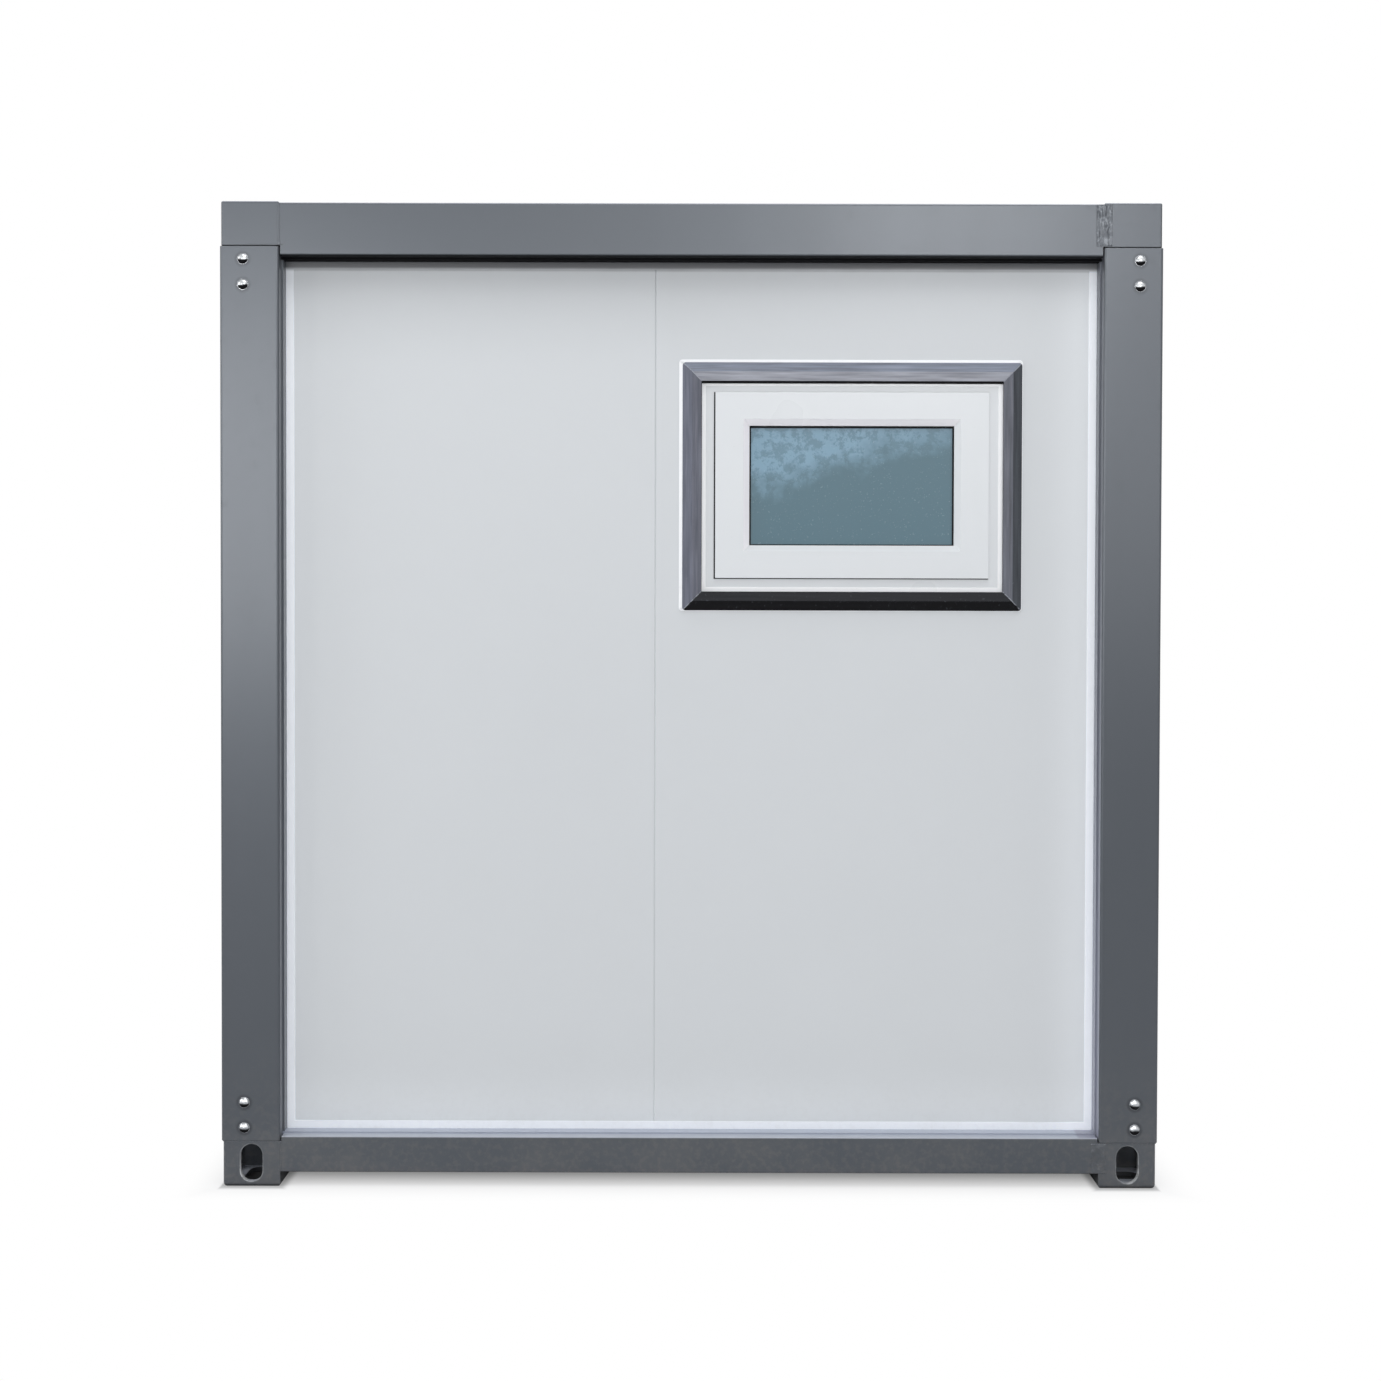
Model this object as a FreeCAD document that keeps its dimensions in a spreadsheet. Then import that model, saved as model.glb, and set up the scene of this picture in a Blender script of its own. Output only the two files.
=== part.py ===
import FreeCAD, Part
import os
import Sketcher

# Portable washroom cabin: a bolted steel frame of four posts between hollow
# corner pieces, with roll-formed beams and rails, sandwich wall panels held in
# white channels, one high top-hung window in front and a plain door behind.
# X runs along the front, Y goes from the front to the back, Z goes up, and the
# origin lies on the ground under the middle of the plan. Lengths are in mm.

SIZES = {
    # overall
    "cabin_width": 2438,
    "cabin_depth": 2438,
    "cabin_height": 2560,
    # corner posts and the reveal that they share with the beams and the rails
    "post_face": 153,
    "post_wall": 3,
    "post_bend": 7,
    "post_proud": 3,
    "post_joint": 3,
    "post_plate": 10,
    "joint_depth": 14,
    "reveal_front": 34,
    "reveal_step": 4,
    "reveal_depth": 65,
    "frame_depth": 150,
    # lower corner pieces
    "foot_height": 119,
    "foot_wall": 12,
    "foot_roof": 6,
    "foot_round": 10,
    "slot_width": 57,
    "slot_height": 98,
    "slot_above_ground": 14,
    "hole_width": 60,
    "hole_length": 104,
    # upper corner pieces
    "head_height": 114,
    "head_wall": 8,
    "head_round": 5,
    # base rails
    "rail_above_ground": 39,
    "rail_height": 93,
    "rail_wall": 3,
    "rail_bend": 3,
    "rail_foot_flange": 62,
    "rail_foot_lip": 14,
    "rail_inner_lip": 38,
    # roof beams
    "beam_height": 137,
    "beam_below_head": 3,
    "beam_wall": 3,
    "beam_bend": 6,
    "beam_top_flange": 58,
    "gutter_depth": 58,
    "roof_seat_height": 26,
    # channels that hold the wall panels
    "channel_wall": 1.5,
    "channel_flange": 20,
    # wall panels
    "panel_thick": 50,
    "panel_cover": 1154,
    "joint_bevel": 2,
    "tongue_width": 16,
    "tongue_length": 12,
    "tongue_gap": 0.3,
    # window
    "window_from_joint": 516,
    "window_below_beam": 585.5,
    "window_width": 800,
    "window_height": 560,
    "window_depth": 60,
    "window_member": 50,
    "window_gap": 2,
    "sash_side_margin": 41,
    "sash_end_margin": 36.5,
    "sash_raise": 3.5,
    "sash_lap": 8,
    "sash_gap": 5,
    "sash_depth": 48,
    "sash_stile": 90,
    "sash_rail": 86.5,
    "sash_bevel": 16,
    "glass_setback": 21,
    "glass_thick": 20,
    "glass_cover": 12,
    # mitred trim round the window
    "trim_width": 49.5,
    "trim_lap": 4.5,
    "trim_height": 18,
    "trim_ridge": 24,
    "trim_inner_height": 13,
    "trim_edge": 4,
    "trim_round": 9,
    "mitre_gap": 0.4,
    # door
    "door_side_margin": 127,
    "door_head_margin": 205,
    "door_depth": 50,
    "door_member": 45,
    "door_fit": 1,
    "door_flange": 15,
    "door_flange_thick": 3,
    "door_gap": 3,
    "door_sill": 22,
    "door_stop": 12,
    "leaf_thick": 40,
    "leaf_round": 2,
    "handle_above_ground": 1150,
    "handle_from_edge": 60,
    "handle_plate_width": 40,
    "handle_plate_height": 220,
    "handle_plate_thick": 4,
    "lever_bar": 18,
    "lever_reach": 46,
    "lever_length": 122,
    "lever_return": 24,
    "spindle": 8,
    "spindle_gap": 1,
    "hinge_height": 100,
    "hinge_knuckle": 14,
    "hinge_leaf": 26,
    "hinge_thick": 3,
    "hinge_from_end": 180,
    # floor and ceiling
    "lining_gap": 2,
    "lining_corner_gap": 3,
    "deck_thick": 20,
    "ceiling_thick": 30,
    "ceiling_bearing": 40,
    "joist_count": 5,
    "joist_height": 85,
    "joist_width": 45,
    "joist_wall": 2.5,
    # roof
    "roof_thick": 1,
    "roof_overhang": 28,
    "roof_corner_gap": 4,
    "rib_count": 8,
    "rib_height": 22,
    "rib_top": 32,
    "rib_base": 58,
    "purlin_count": 3,
    "purlin_height": 52,
    "purlin_width": 40,
    "purlin_wall": 2,
}

NEAR = 0.01

doc = FreeCAD.newDocument("washroom_cabin")
sheet = doc.addObject("Spreadsheet::Sheet", "Sizes")
for row, (alias, number) in enumerate(SIZES.items(), start=1):
    sheet.set(f"A{row}", alias)
    sheet.set(f"B{row}", str(number))
    sheet.setAlias(f"B{row}", alias)
doc.recompute()


class Size:
    """A length that keeps its number beside the formula that makes it from the sheet."""

    def __init__(self, number, formula):
        self.number = float(number)
        self.formula = formula

    def __add__(self, other):
        other = size(other)
        return Size(self.number + other.number, f"({self.formula} + {other.formula})")

    def __sub__(self, other):
        other = size(other)
        return Size(self.number - other.number, f"({self.formula} - {other.formula})")

    def __mul__(self, factor):
        factor = size(factor)
        return Size(self.number * factor.number, f"({self.formula} * {factor.formula})")

    def __truediv__(self, divisor):
        divisor = size(divisor)
        return Size(self.number / divisor.number, f"({self.formula} / {divisor.formula})")

    def __neg__(self):
        return Size(-self.number, f"(-1 * {self.formula})")

    def __radd__(self, other):
        return size(other) + self

    def __rsub__(self, other):
        return size(other) - self


def size(value):
    return value if isinstance(value, Size) else Size(value, repr(float(value)))


class Sheet:
    """Gives each size of the sheet by its name."""

    def __getattr__(self, alias):
        return Size(sheet.get(alias), f"Sizes.{alias}")


S = Sheet()


# Sketches

def new_sketch(body, plane, at=0):
    """A sketch parallel to an origin plane of its body, moved by 'at' along the plane's axis."""
    sketch = body.newObject("Sketcher::SketchObject", f"{body.Label}_sketch")
    origin_plane = next(f for f in body.Origin.OriginFeatures if f.Role == f"{plane}_Plane")
    sketch.AttachmentSupport = [(origin_plane, "")]
    sketch.MapMode = "FlatFace"
    shift = size(at)
    if plane == "XZ":
        shift = -shift
    sketch.setExpression("AttachmentOffset.Base.z", shift.formula)
    return sketch


def pin_point(sketch, geometry, end, spot):
    """Fixes a point of the sketch at a place given by two sizes."""
    for kind, value in zip(("DistanceX", "DistanceY"), spot):
        value = size(value)
        number = sketch.addConstraint(Sketcher.Constraint(kind, -1, 1, geometry, end, value.number))
        sketch.setExpression(f"Constraints[{number}]", value.formula)


def draw_loop(sketch, spots):
    """A closed outline of straight lines through the given spots."""
    points = [FreeCAD.Vector(size(x).number, size(y).number, 0) for x, y in spots]
    count = len(points)
    first = sketch.GeometryCount
    for i in range(count):
        sketch.addGeometry(Part.LineSegment(points[i], points[(i + 1) % count]), False)
    for i in range(count):
        after = first + (i + 1) % count
        sketch.addConstraint(Sketcher.Constraint("Coincident", first + i, 2, after, 1))
    for i, spot in enumerate(spots):
        pin_point(sketch, first + i, 1, spot)


def draw_line_through(sketch, spots):
    """An open line through the given spots."""
    points = [FreeCAD.Vector(size(x).number, size(y).number, 0) for x, y in spots]
    first = sketch.GeometryCount
    for start, end in zip(points, points[1:]):
        sketch.addGeometry(Part.LineSegment(start, end), False)
    for i in range(len(points) - 2):
        sketch.addConstraint(Sketcher.Constraint("Coincident", first + i, 2, first + i + 1, 1))
    for i, spot in enumerate(spots[:-1]):
        pin_point(sketch, first + i, 1, spot)
    pin_point(sketch, first + len(spots) - 2, 2, spots[-1])


def draw_rectangle(sketch, low, high):
    draw_loop(sketch, [low, (high[0], low[1]), high, (low[0], high[1])])


def draw_centred(sketch, width, height):
    draw_rectangle(sketch, (-width / 2, -height / 2), (width / 2, height / 2))


def draw_circle(sketch, centre, diameter):
    middle = FreeCAD.Vector(size(centre[0]).number, size(centre[1]).number, 0)
    radius = size(diameter) / 2
    circle = sketch.addGeometry(Part.Circle(middle, FreeCAD.Vector(0, 0, 1), radius.number), False)
    pin_point(sketch, circle, 3, centre)
    number = sketch.addConstraint(Sketcher.Constraint("Radius", circle, radius.number))
    sketch.setExpression(f"Constraints[{number}]", radius.formula)


def draw_obround(sketch, centre, width, length):
    """An upright slot with round ends, 'length' from end to end."""
    reach = (size(length) - width) / 2
    radius = size(width) / 2
    upper = (centre[0], centre[1] + reach)
    lower = (centre[0], centre[1] - reach)
    half_turn = FreeCAD.Units.parseQuantity("180 deg").getValueAs("rad").Value
    arcs = []
    for spot, start in ((upper, 0), (lower, half_turn)):
        middle = FreeCAD.Vector(spot[0].number, spot[1].number, 0)
        circle = Part.Circle(middle, FreeCAD.Vector(0, 0, 1), radius.number)
        arcs.append(sketch.addGeometry(Part.ArcOfCircle(circle, start, start + half_turn), False))
    top, bottom = arcs
    left = sketch.addGeometry(Part.LineSegment(sketch.getPoint(top, 2), sketch.getPoint(bottom, 1)), False)
    right = sketch.addGeometry(Part.LineSegment(sketch.getPoint(bottom, 2), sketch.getPoint(top, 1)), False)
    for before, after in ((top, left), (left, bottom), (bottom, right), (right, top)):
        sketch.addConstraint(Sketcher.Constraint("Tangent", before, 2, after, 1))
    pin_point(sketch, top, 3, upper)
    pin_point(sketch, bottom, 3, lower)
    number = sketch.addConstraint(Sketcher.Constraint("Radius", top, radius.number))
    sketch.setExpression(f"Constraints[{number}]", radius.formula)


def draw_rounded(sketch, width, height, radius):
    """A rectangle round the origin with four round corners."""
    radius = size(radius)
    wide, high = size(width) / 2 - radius, size(height) / 2 - radius
    quarter = FreeCAD.Units.parseQuantity("90 deg").getValueAs("rad").Value
    arcs = []
    spots = [(wide, high), (-wide, high), (-wide, -high), (wide, -high)]
    for i, (x, z) in enumerate(spots):
        circle = Part.Circle(FreeCAD.Vector(x.number, z.number, 0), FreeCAD.Vector(0, 0, 1), radius.number)
        arcs.append(sketch.addGeometry(Part.ArcOfCircle(circle, quarter * i, quarter * (i + 1)), False))
    for i, arc in enumerate(arcs):
        after = arcs[(i + 1) % len(arcs)]
        ends = sketch.getPoint(arc, 2), sketch.getPoint(after, 1)
        line = sketch.addGeometry(Part.LineSegment(*ends), False)
        sketch.addConstraint(Sketcher.Constraint("Tangent", arc, 2, line, 1))
        sketch.addConstraint(Sketcher.Constraint("Tangent", line, 2, after, 1))
    for arc, spot in zip(arcs, spots):
        pin_point(sketch, arc, 3, spot)
        number = sketch.addConstraint(Sketcher.Constraint("Radius", arc, radius.number))
        sketch.setExpression(f"Constraints[{number}]", radius.formula)


# Features

FORWARD = {"XY": False, "YZ": False, "XZ": True}


def new_body(label, place=(0, 0, 0), turn=0):
    """A body placed by three sizes and turned about the upright axis by 'turn' degrees."""
    body = doc.addObject("PartDesign::Body", label)
    body.Label = label
    body.Placement = FreeCAD.Placement(FreeCAD.Vector(), FreeCAD.Rotation(FreeCAD.Vector(0, 0, 1), turn))
    for axis, value in zip("xyz", place):
        body.setExpression(f"Placement.Base.{axis}", size(value).formula)
    return body


def extrude(body, kind, plane, at, length, draw, both_ways=False):
    """Pads or pockets what 'draw' puts in a new sketch, towards the plane's positive axis."""
    sketch = new_sketch(body, plane, at)
    draw(sketch)
    feature = body.newObject(f"PartDesign::{kind}", f"{body.Label}_{kind.lower()}")
    feature.Profile = sketch
    feature.setExpression("Length", size(length).formula)
    if both_ways:
        feature.SideType = "Symmetric"
    forward = FORWARD[plane]
    feature.Reversed = forward if kind == "Pad" else not forward
    doc.recompute()
    return feature


def pad(body, plane, at, length, draw, both_ways=False):
    return extrude(body, "Pad", plane, at, length, draw, both_ways)


def pocket(body, plane, at, length, draw, both_ways=False):
    return extrude(body, "Pocket", plane, at, length, draw, both_ways)


def edges_along(body, axis, spots):
    """The names of the edges along an axis ('x', 'y' or 'z') whose other two coordinates are one of the spots."""
    others = [i for i in range(3) if "xyz"[i] != axis]
    wanted = [[size(value).number for value in spot] for spot in spots]
    names = []
    for number, edge in enumerate(body.Tip.Shape.Edges, start=1):
        ends = [vertex.Point for vertex in edge.Vertexes]
        if len(ends) != 2:
            continue
        for spot in wanted:
            offsets = [abs(end[i] - value) for end in ends for i, value in zip(others, spot)]
            if max(offsets) < NEAR:
                names.append(f"Edge{number}")
    return names


def dress(body, kind, setting, names, amount):
    """A fillet or a chamfer on named edges of the body's last feature."""
    base = body.Tip
    feature = body.newObject(f"PartDesign::{kind}", f"{body.Label}_{kind.lower()}")
    feature.Base = (base, names)
    feature.setExpression(setting, size(amount).formula)
    doc.recompute()
    return feature


def fillet(body, names, radius):
    return dress(body, "Fillet", "Radius", names, radius)


def chamfer(body, names, amount):
    return dress(body, "Chamfer", "Size", names, amount)


def repeat(body, features, axis, spacing, count):
    """Copies features along one of the body's axes, at an even spacing."""
    line = next(f for f in body.Origin.OriginFeatures if f.Role == f"{axis}_Axis")
    pattern = body.newObject("PartDesign::LinearPattern", f"{body.Label}_pattern")
    pattern.Originals = features
    pattern.Direction = (line, [""])
    pattern.Mode = "Spacing"
    pattern.setExpression("Offset", size(spacing).formula)
    pattern.setExpression("Occurrences", size(count).formula)
    body.Tip = pattern
    doc.recompute()
    return pattern


def sweep(body, plane, at, path_spots, profile, closed=False, corners="Right corner"):
    """Sweeps a profile sketch along straight lines drawn in an origin plane."""
    path = new_sketch(body, plane, at)
    if closed:
        draw_loop(path, path_spots)
    else:
        draw_line_through(path, path_spots)
    feature = body.newObject("PartDesign::AdditivePipe", f"{body.Label}_sweep")
    feature.Profile = profile
    feature.Spine = (path, [])
    feature.Transition = corners
    doc.recompute()
    return feature


# Places shared by several pieces. On a wall, 'depth' means the distance in from
# the outer face of the posts.

half_width = S.cabin_width / 2
half_depth = S.cabin_depth / 2
post_back = S.post_face + S.reveal_step
head_bottom = S.cabin_height - S.head_height
rail_bottom = S.rail_above_ground
rail_top = S.rail_above_ground + S.rail_height
opening_bottom = rail_top + S.reveal_step
beam_top = S.cabin_height - S.beam_below_head
beam_bottom = beam_top - S.beam_height
opening_top = beam_bottom - S.reveal_step
gutter_floor = beam_top - S.gutter_depth
roof_seat = gutter_floor + S.roof_seat_height
panel_front = S.reveal_depth + S.channel_wall
panel_back = panel_front + S.panel_thick
channel_back = panel_back + S.channel_wall

door_width = S.panel_cover - S.door_side_margin * 2
door_height = opening_top - opening_bottom - S.door_head_margin
door_cover_half = door_width / 2 + S.door_flange

# Going round the cabin anticlockwise from above: each side and each corner is a
# quarter turn on from the one before it.
SIDES = ("front", "right", "back", "left")
CORNERS = ("front_left", "front_right", "back_right", "back_left")


def turn_of(place):
    order = SIDES if place in SIDES else CORNERS
    return 90 * order.index(place)


def corner_place(corner):
    x = -half_width if "left" in corner else half_width
    y = -half_depth if "front" in corner else half_depth
    return x, y, 0


def side_length(side):
    return S.cabin_width if side in ("front", "back") else S.cabin_depth


def side_place(side, along=0, up=0):
    """Where a body starts that is drawn against one side, 'along' to the right of its middle as seen outside."""
    along = size(along)
    return {
        "front": (along, -half_depth, up),
        "right": (half_width, along, up),
        "back": (-along, half_depth, up),
        "left": (-half_width, -along, up),
    }[side]


# Corner posts

def post_outline(inset):
    """The section of a post: a square tube whose two inner sides step out behind the reveal's front part."""
    low = size(inset)
    front = S.post_face - inset
    step = S.reveal_front + inset
    back = post_back - inset
    return [
        (low, low),
        (front, low),
        (front, step),
        (back, step),
        (back, back),
        (step, back),
        (step, front),
        (low, front),
    ]


def make_post(corner):
    body = new_body(f"corner_post_{corner}", corner_place(corner), turn_of(corner))
    tube_bottom = S.foot_height + S.post_joint
    tube_top = head_bottom - S.post_joint
    pad(body, "XY", tube_bottom, tube_top - tube_bottom, lambda s: draw_loop(s, post_outline(0)))
    bends = [(0, 0), (S.post_face, 0), (0, S.post_face)]
    fillet(body, edges_along(body, "z", bends), S.post_bend)
    pocket(body, "XY", tube_bottom, tube_top - tube_bottom, lambda s: draw_loop(s, post_outline(S.post_wall)))
    pad(body, "XY", S.foot_height, S.post_plate, lambda s: draw_loop(s, post_outline(S.post_wall)))
    cap_bottom = head_bottom - S.post_plate
    pad(body, "XY", cap_bottom, tube_top - cap_bottom, lambda s: draw_loop(s, post_outline(S.post_wall)))
    pad(body, "XY", tube_top, S.post_joint, lambda s: draw_loop(s, post_outline(S.joint_depth)))


# Hollow corner pieces

def corner_shell(body, bottom, height, wall, roof, rounding, free_end):
    """A closed box under or over a post, rounded on its outer upright edge and all round its free end."""
    low, high = S.post_proud, S.post_face
    pad(body, "XY", bottom, height, lambda s: draw_rectangle(s, (low, low), (high, high)))
    names = edges_along(body, "z", [(low, low)])
    for axis in "xy":
        names += edges_along(body, axis, [(low, free_end), (high, free_end)])
    fillet(body, names, rounding)
    inner_low, inner_high = low + wall, high - wall
    pocket(
        body,
        "XY",
        bottom + wall,
        height - wall - roof,
        lambda s: draw_rectangle(s, (inner_low, inner_low), (inner_high, inner_high)),
    )


def make_foot(corner):
    """A lower corner piece: upright slots in both outer faces and a hole in its base, all into one chamber."""
    body = new_body(f"corner_foot_{corner}", corner_place(corner), turn_of(corner))
    corner_shell(body, 0, S.foot_height, S.foot_wall, S.foot_roof, S.foot_round, 0)
    middle = (S.post_proud + S.post_face) / 2
    slot_middle = S.slot_above_ground + S.slot_height / 2
    reach = S.post_proud + S.foot_wall + S.foot_wall
    for plane, spot in (("XZ", (middle, slot_middle)), ("YZ", (middle, slot_middle))):
        pocket(body, plane, 0, reach, lambda s: draw_obround(s, spot, S.slot_width, S.slot_height))
    pocket(body, "XY", 0, S.foot_wall, lambda s: draw_obround(s, (middle, middle), S.hole_width, S.hole_length))


def make_head(corner):
    """An upper corner piece, with the lifting hole in its top."""
    body = new_body(f"corner_head_{corner}", corner_place(corner), turn_of(corner))
    corner_shell(body, head_bottom, S.head_height, S.head_wall, S.head_wall, S.head_round, S.cabin_height)
    middle = (S.post_proud + S.post_face) / 2
    pocket(
        body,
        "XY",
        S.cabin_height - S.head_wall,
        S.head_wall,
        lambda s: draw_obround(s, (middle, middle), S.hole_width, S.hole_length),
    )


# Base rails and roof beams

def cope_ends(body, length, bottom, height):
    """Cuts both ends back from the posts: by the joint at the face, by the step behind it."""
    half = length / 2

    def draw(sketch):
        for sign in (-1, 1):
            end = (half - S.post_face) * sign
            face = (half - S.post_face - S.post_joint) * sign
            step = (half - post_back) * sign
            outline = [
                (end, 0),
                (face, 0),
                (face, S.reveal_front),
                (step, S.reveal_front),
                (step, S.frame_depth),
                (end, S.frame_depth),
            ]
            draw_loop(sketch, outline)

    pocket(body, "XY", bottom, height, draw)


def make_rail(side):
    """A rolled rail: face, stepped top with a lip behind, and a foot flange with a lip."""
    length = side_length(side)
    body = new_body(f"base_rail_{side}", side_place(side), turn_of(side))
    wall = S.rail_wall
    face = S.post_proud
    step = S.reveal_front
    back = S.frame_depth
    flange = face + S.rail_foot_flange
    outline = [
        (face, rail_bottom),
        (face, rail_top),
        (step, rail_top),
        (step, opening_bottom),
        (back, opening_bottom),
        (back, opening_bottom - S.rail_inner_lip),
        (back - wall, opening_bottom - S.rail_inner_lip),
        (back - wall, opening_bottom - wall),
        (step + wall, opening_bottom - wall),
        (step + wall, rail_top - wall),
        (face + wall, rail_top - wall),
        (face + wall, rail_bottom + wall),
        (flange - wall, rail_bottom + wall),
        (flange - wall, rail_bottom + S.rail_foot_lip),
        (flange, rail_bottom + S.rail_foot_lip),
        (flange, rail_bottom),
    ]
    pad(body, "YZ", 0, length - S.post_face * 2, lambda s: draw_loop(s, outline), both_ways=True)
    bends = [(face, rail_bottom), (face, rail_top), (flange, rail_bottom)]
    fillet(body, edges_along(body, "x", bends), S.rail_bend)
    cope_ends(body, length, S.foot_height, opening_bottom - S.foot_height)


def make_beam(side):
    """A rolled roof beam: soffit, face, top flange, gutter and the upstand that carries the roof."""
    length = side_length(side)
    body = new_body(f"roof_beam_{side}", side_place(side), turn_of(side))
    wall = S.beam_wall
    face = S.post_proud
    step = S.reveal_front
    back = S.frame_depth
    gutter = face + S.beam_top_flange
    outline = [
        (back, opening_top),
        (step, opening_top),
        (step, beam_bottom),
        (face, beam_bottom),
        (face, beam_top),
        (gutter, beam_top),
        (gutter, gutter_floor),
        (back - wall, gutter_floor),
        (back - wall, roof_seat),
        (back, roof_seat),
        (back, gutter_floor - wall),
        (gutter - wall, gutter_floor - wall),
        (gutter - wall, beam_top - wall),
        (face + wall, beam_top - wall),
        (face + wall, beam_bottom + wall),
        (step + wall, beam_bottom + wall),
        (step + wall, opening_top + wall),
        (back, opening_top + wall),
    ]
    pad(body, "YZ", 0, length - S.post_face * 2, lambda s: draw_loop(s, outline), both_ways=True)
    bends = [(face, beam_bottom), (face, beam_top), (gutter, beam_top)]
    fillet(body, edges_along(body, "x", bends), S.beam_bend)
    cope_ends(body, length, beam_bottom - S.reveal_step, head_bottom - opening_top)


# Wall channels and panels

def opening_half(side):
    """Half of the width between the two posts of a side, behind the step."""
    return side_length(side) / 2 - post_back


def joint_place(side):
    """Where the two panels of a side meet: the right one is a whole panel, the left one is cut to fit."""
    return opening_half(side) - S.channel_wall - S.panel_cover


def door_middle():
    half = opening_half("back") - S.channel_wall
    return (joint_place("back") + half) / 2


def make_channel(side):
    """The white channel all round a wall, made as its two flanges and the web between them."""
    body = new_body(f"wall_channel_{side}", side_place(side), turn_of(side))
    half = opening_half(side)
    flange = S.channel_flange
    web = S.channel_wall

    def ring(inset):
        def draw(sketch):
            draw_rectangle(sketch, (-half, opening_bottom), (half, opening_top))
            draw_rectangle(
                sketch,
                (-half + inset, opening_bottom + inset),
                (half - inset, opening_top - inset),
            )
        return draw

    pad(body, "XZ", S.reveal_depth, web, ring(flange))
    pad(body, "XZ", S.reveal_depth, channel_back - S.reveal_depth, ring(web))
    pad(body, "XZ", panel_back, web, ring(flange))
    if side == "back":
        middle = door_middle()
        for reach, depth in ((door_width / 2, channel_back - S.reveal_depth), (door_cover_half, web)):
            low, high = (middle - reach, opening_bottom), (middle + reach, opening_bottom + flange)
            pocket(body, "XZ", S.reveal_depth, depth, lambda s: draw_rectangle(s, low, high))


def panel_outline(left, right, left_joint, right_joint):
    """The plan of a panel: a tongue on a right-hand joint, a groove on a left-hand one, bevelled at the faces."""
    bevel = S.joint_bevel
    middle = (panel_front + panel_back) / 2
    tongue = S.tongue_width / 2
    groove = tongue + S.tongue_gap
    spots = []
    if left_joint:
        spots += [
            (left + bevel, panel_front),
        ]
    else:
        spots += [(left, panel_front)]
    if right_joint:
        spots += [
            (right - bevel, panel_front),
            (right, panel_front + bevel),
            (right, middle - tongue),
            (right + S.tongue_length, middle - tongue),
            (right + S.tongue_length, middle + tongue),
            (right, middle + tongue),
            (right, panel_back - bevel),
            (right - bevel, panel_back),
        ]
    else:
        spots += [(right, panel_front), (right, panel_back)]
    if left_joint:
        depth = left + S.tongue_length + S.tongue_gap
        spots += [
            (left + bevel, panel_back),
            (left, panel_back - bevel),
            (left, middle + groove),
            (depth, middle + groove),
            (depth, middle - groove),
            (left, middle - groove),
            (left, panel_front + bevel),
        ]
    else:
        spots += [(left, panel_back)]
    return spots


def make_panel(side, hand):
    """One of the two upright sandwich panels of a side."""
    body = new_body(f"wall_panel_{side}_{hand}", side_place(side), turn_of(side))
    half = opening_half(side) - S.channel_wall
    joint = joint_place(side)
    bottom = opening_bottom + S.channel_wall
    top = opening_top - S.channel_wall
    if hand == "left":
        outline = panel_outline(-half, joint, False, True)
    else:
        outline = panel_outline(joint, half, True, False)
    pad(body, "XY", bottom, top - bottom, lambda s: draw_loop(s, outline))
    return body


def cut_window_opening(body):
    wide = S.window_width / 2 + S.window_gap
    high = S.window_height / 2 + S.window_gap
    pocket(
        body,
        "XZ",
        panel_front,
        S.panel_thick,
        lambda s: draw_rectangle(
            s,
            (window_along - wide, window_up - high),
            (window_along + wide, window_up + high),
        ),
    )


def cut_door_opening(body):
    wide = door_width / 2
    pocket(
        body,
        "XZ",
        panel_front,
        S.panel_thick,
        lambda s: draw_rectangle(
            s,
            (door_middle() - wide, opening_bottom),
            (door_middle() + wide, opening_bottom + door_height),
        ),
    )


# Window: every piece is drawn round the window's own middle

window_along = joint_place("front") + S.window_from_joint
window_up = opening_top - S.window_below_beam


def window_body(label, rise=0):
    return new_body(label, side_place("front", window_along, window_up + rise))


def draw_ring(outer_width, outer_height, member):
    def draw(sketch):
        draw_centred(sketch, outer_width, outer_height)
        draw_centred(sketch, outer_width - member * 2, outer_height - member * 2)
    return draw


sash_width = S.window_width - S.sash_side_margin * 2
sash_height = S.window_height - S.sash_end_margin * 2
sash_front = panel_front - S.sash_lap
glass_front = sash_front + S.glass_setback
aperture_width = sash_width - S.sash_stile * 2
aperture_height = sash_height - S.sash_rail * 2
glass_width = aperture_width + S.glass_cover * 2
glass_height = aperture_height + S.glass_cover * 2


def make_window_frame():
    body = window_body("window_frame")
    pad(body, "XZ", panel_front, S.window_depth, draw_ring(S.window_width, S.window_height, S.window_member))


def make_window_sash():
    """The hung sash: a lap in front of the frame, a body inside it, a bevelled sight line and a glass rebate."""
    body = window_body("window_sash", S.sash_raise)

    def draw_lap(sketch):
        draw_centred(sketch, sash_width, sash_height)
        draw_centred(sketch, aperture_width, aperture_height)

    pad(body, "XZ", sash_front, S.sash_lap, draw_lap)
    body_width = S.window_width - S.window_member * 2 - S.sash_gap * 2
    body_height = S.window_height - S.window_member * 2 - S.sash_gap * 2

    def draw_body(sketch):
        draw_centred(sketch, body_width, body_height)
        draw_centred(sketch, aperture_width, aperture_height)

    pad(body, "XZ", panel_front, S.sash_depth, draw_body)
    pocket(
        body,
        "XZ",
        glass_front,
        S.sash_depth + S.sash_lap - S.glass_setback,
        lambda s: draw_centred(s, glass_width, glass_height),
    )
    high, wide = aperture_height / 2, aperture_width / 2
    names = edges_along(body, "x", [(sash_front, high), (sash_front, -high)])
    names += edges_along(body, "z", [(wide, sash_front), (-wide, sash_front)])
    chamfer(body, names, S.sash_bevel)


def make_window_glass():
    body = window_body("window_glass", S.sash_raise)
    pad(body, "XZ", glass_front, S.glass_thick, lambda s: draw_centred(s, glass_width, glass_height))


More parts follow.
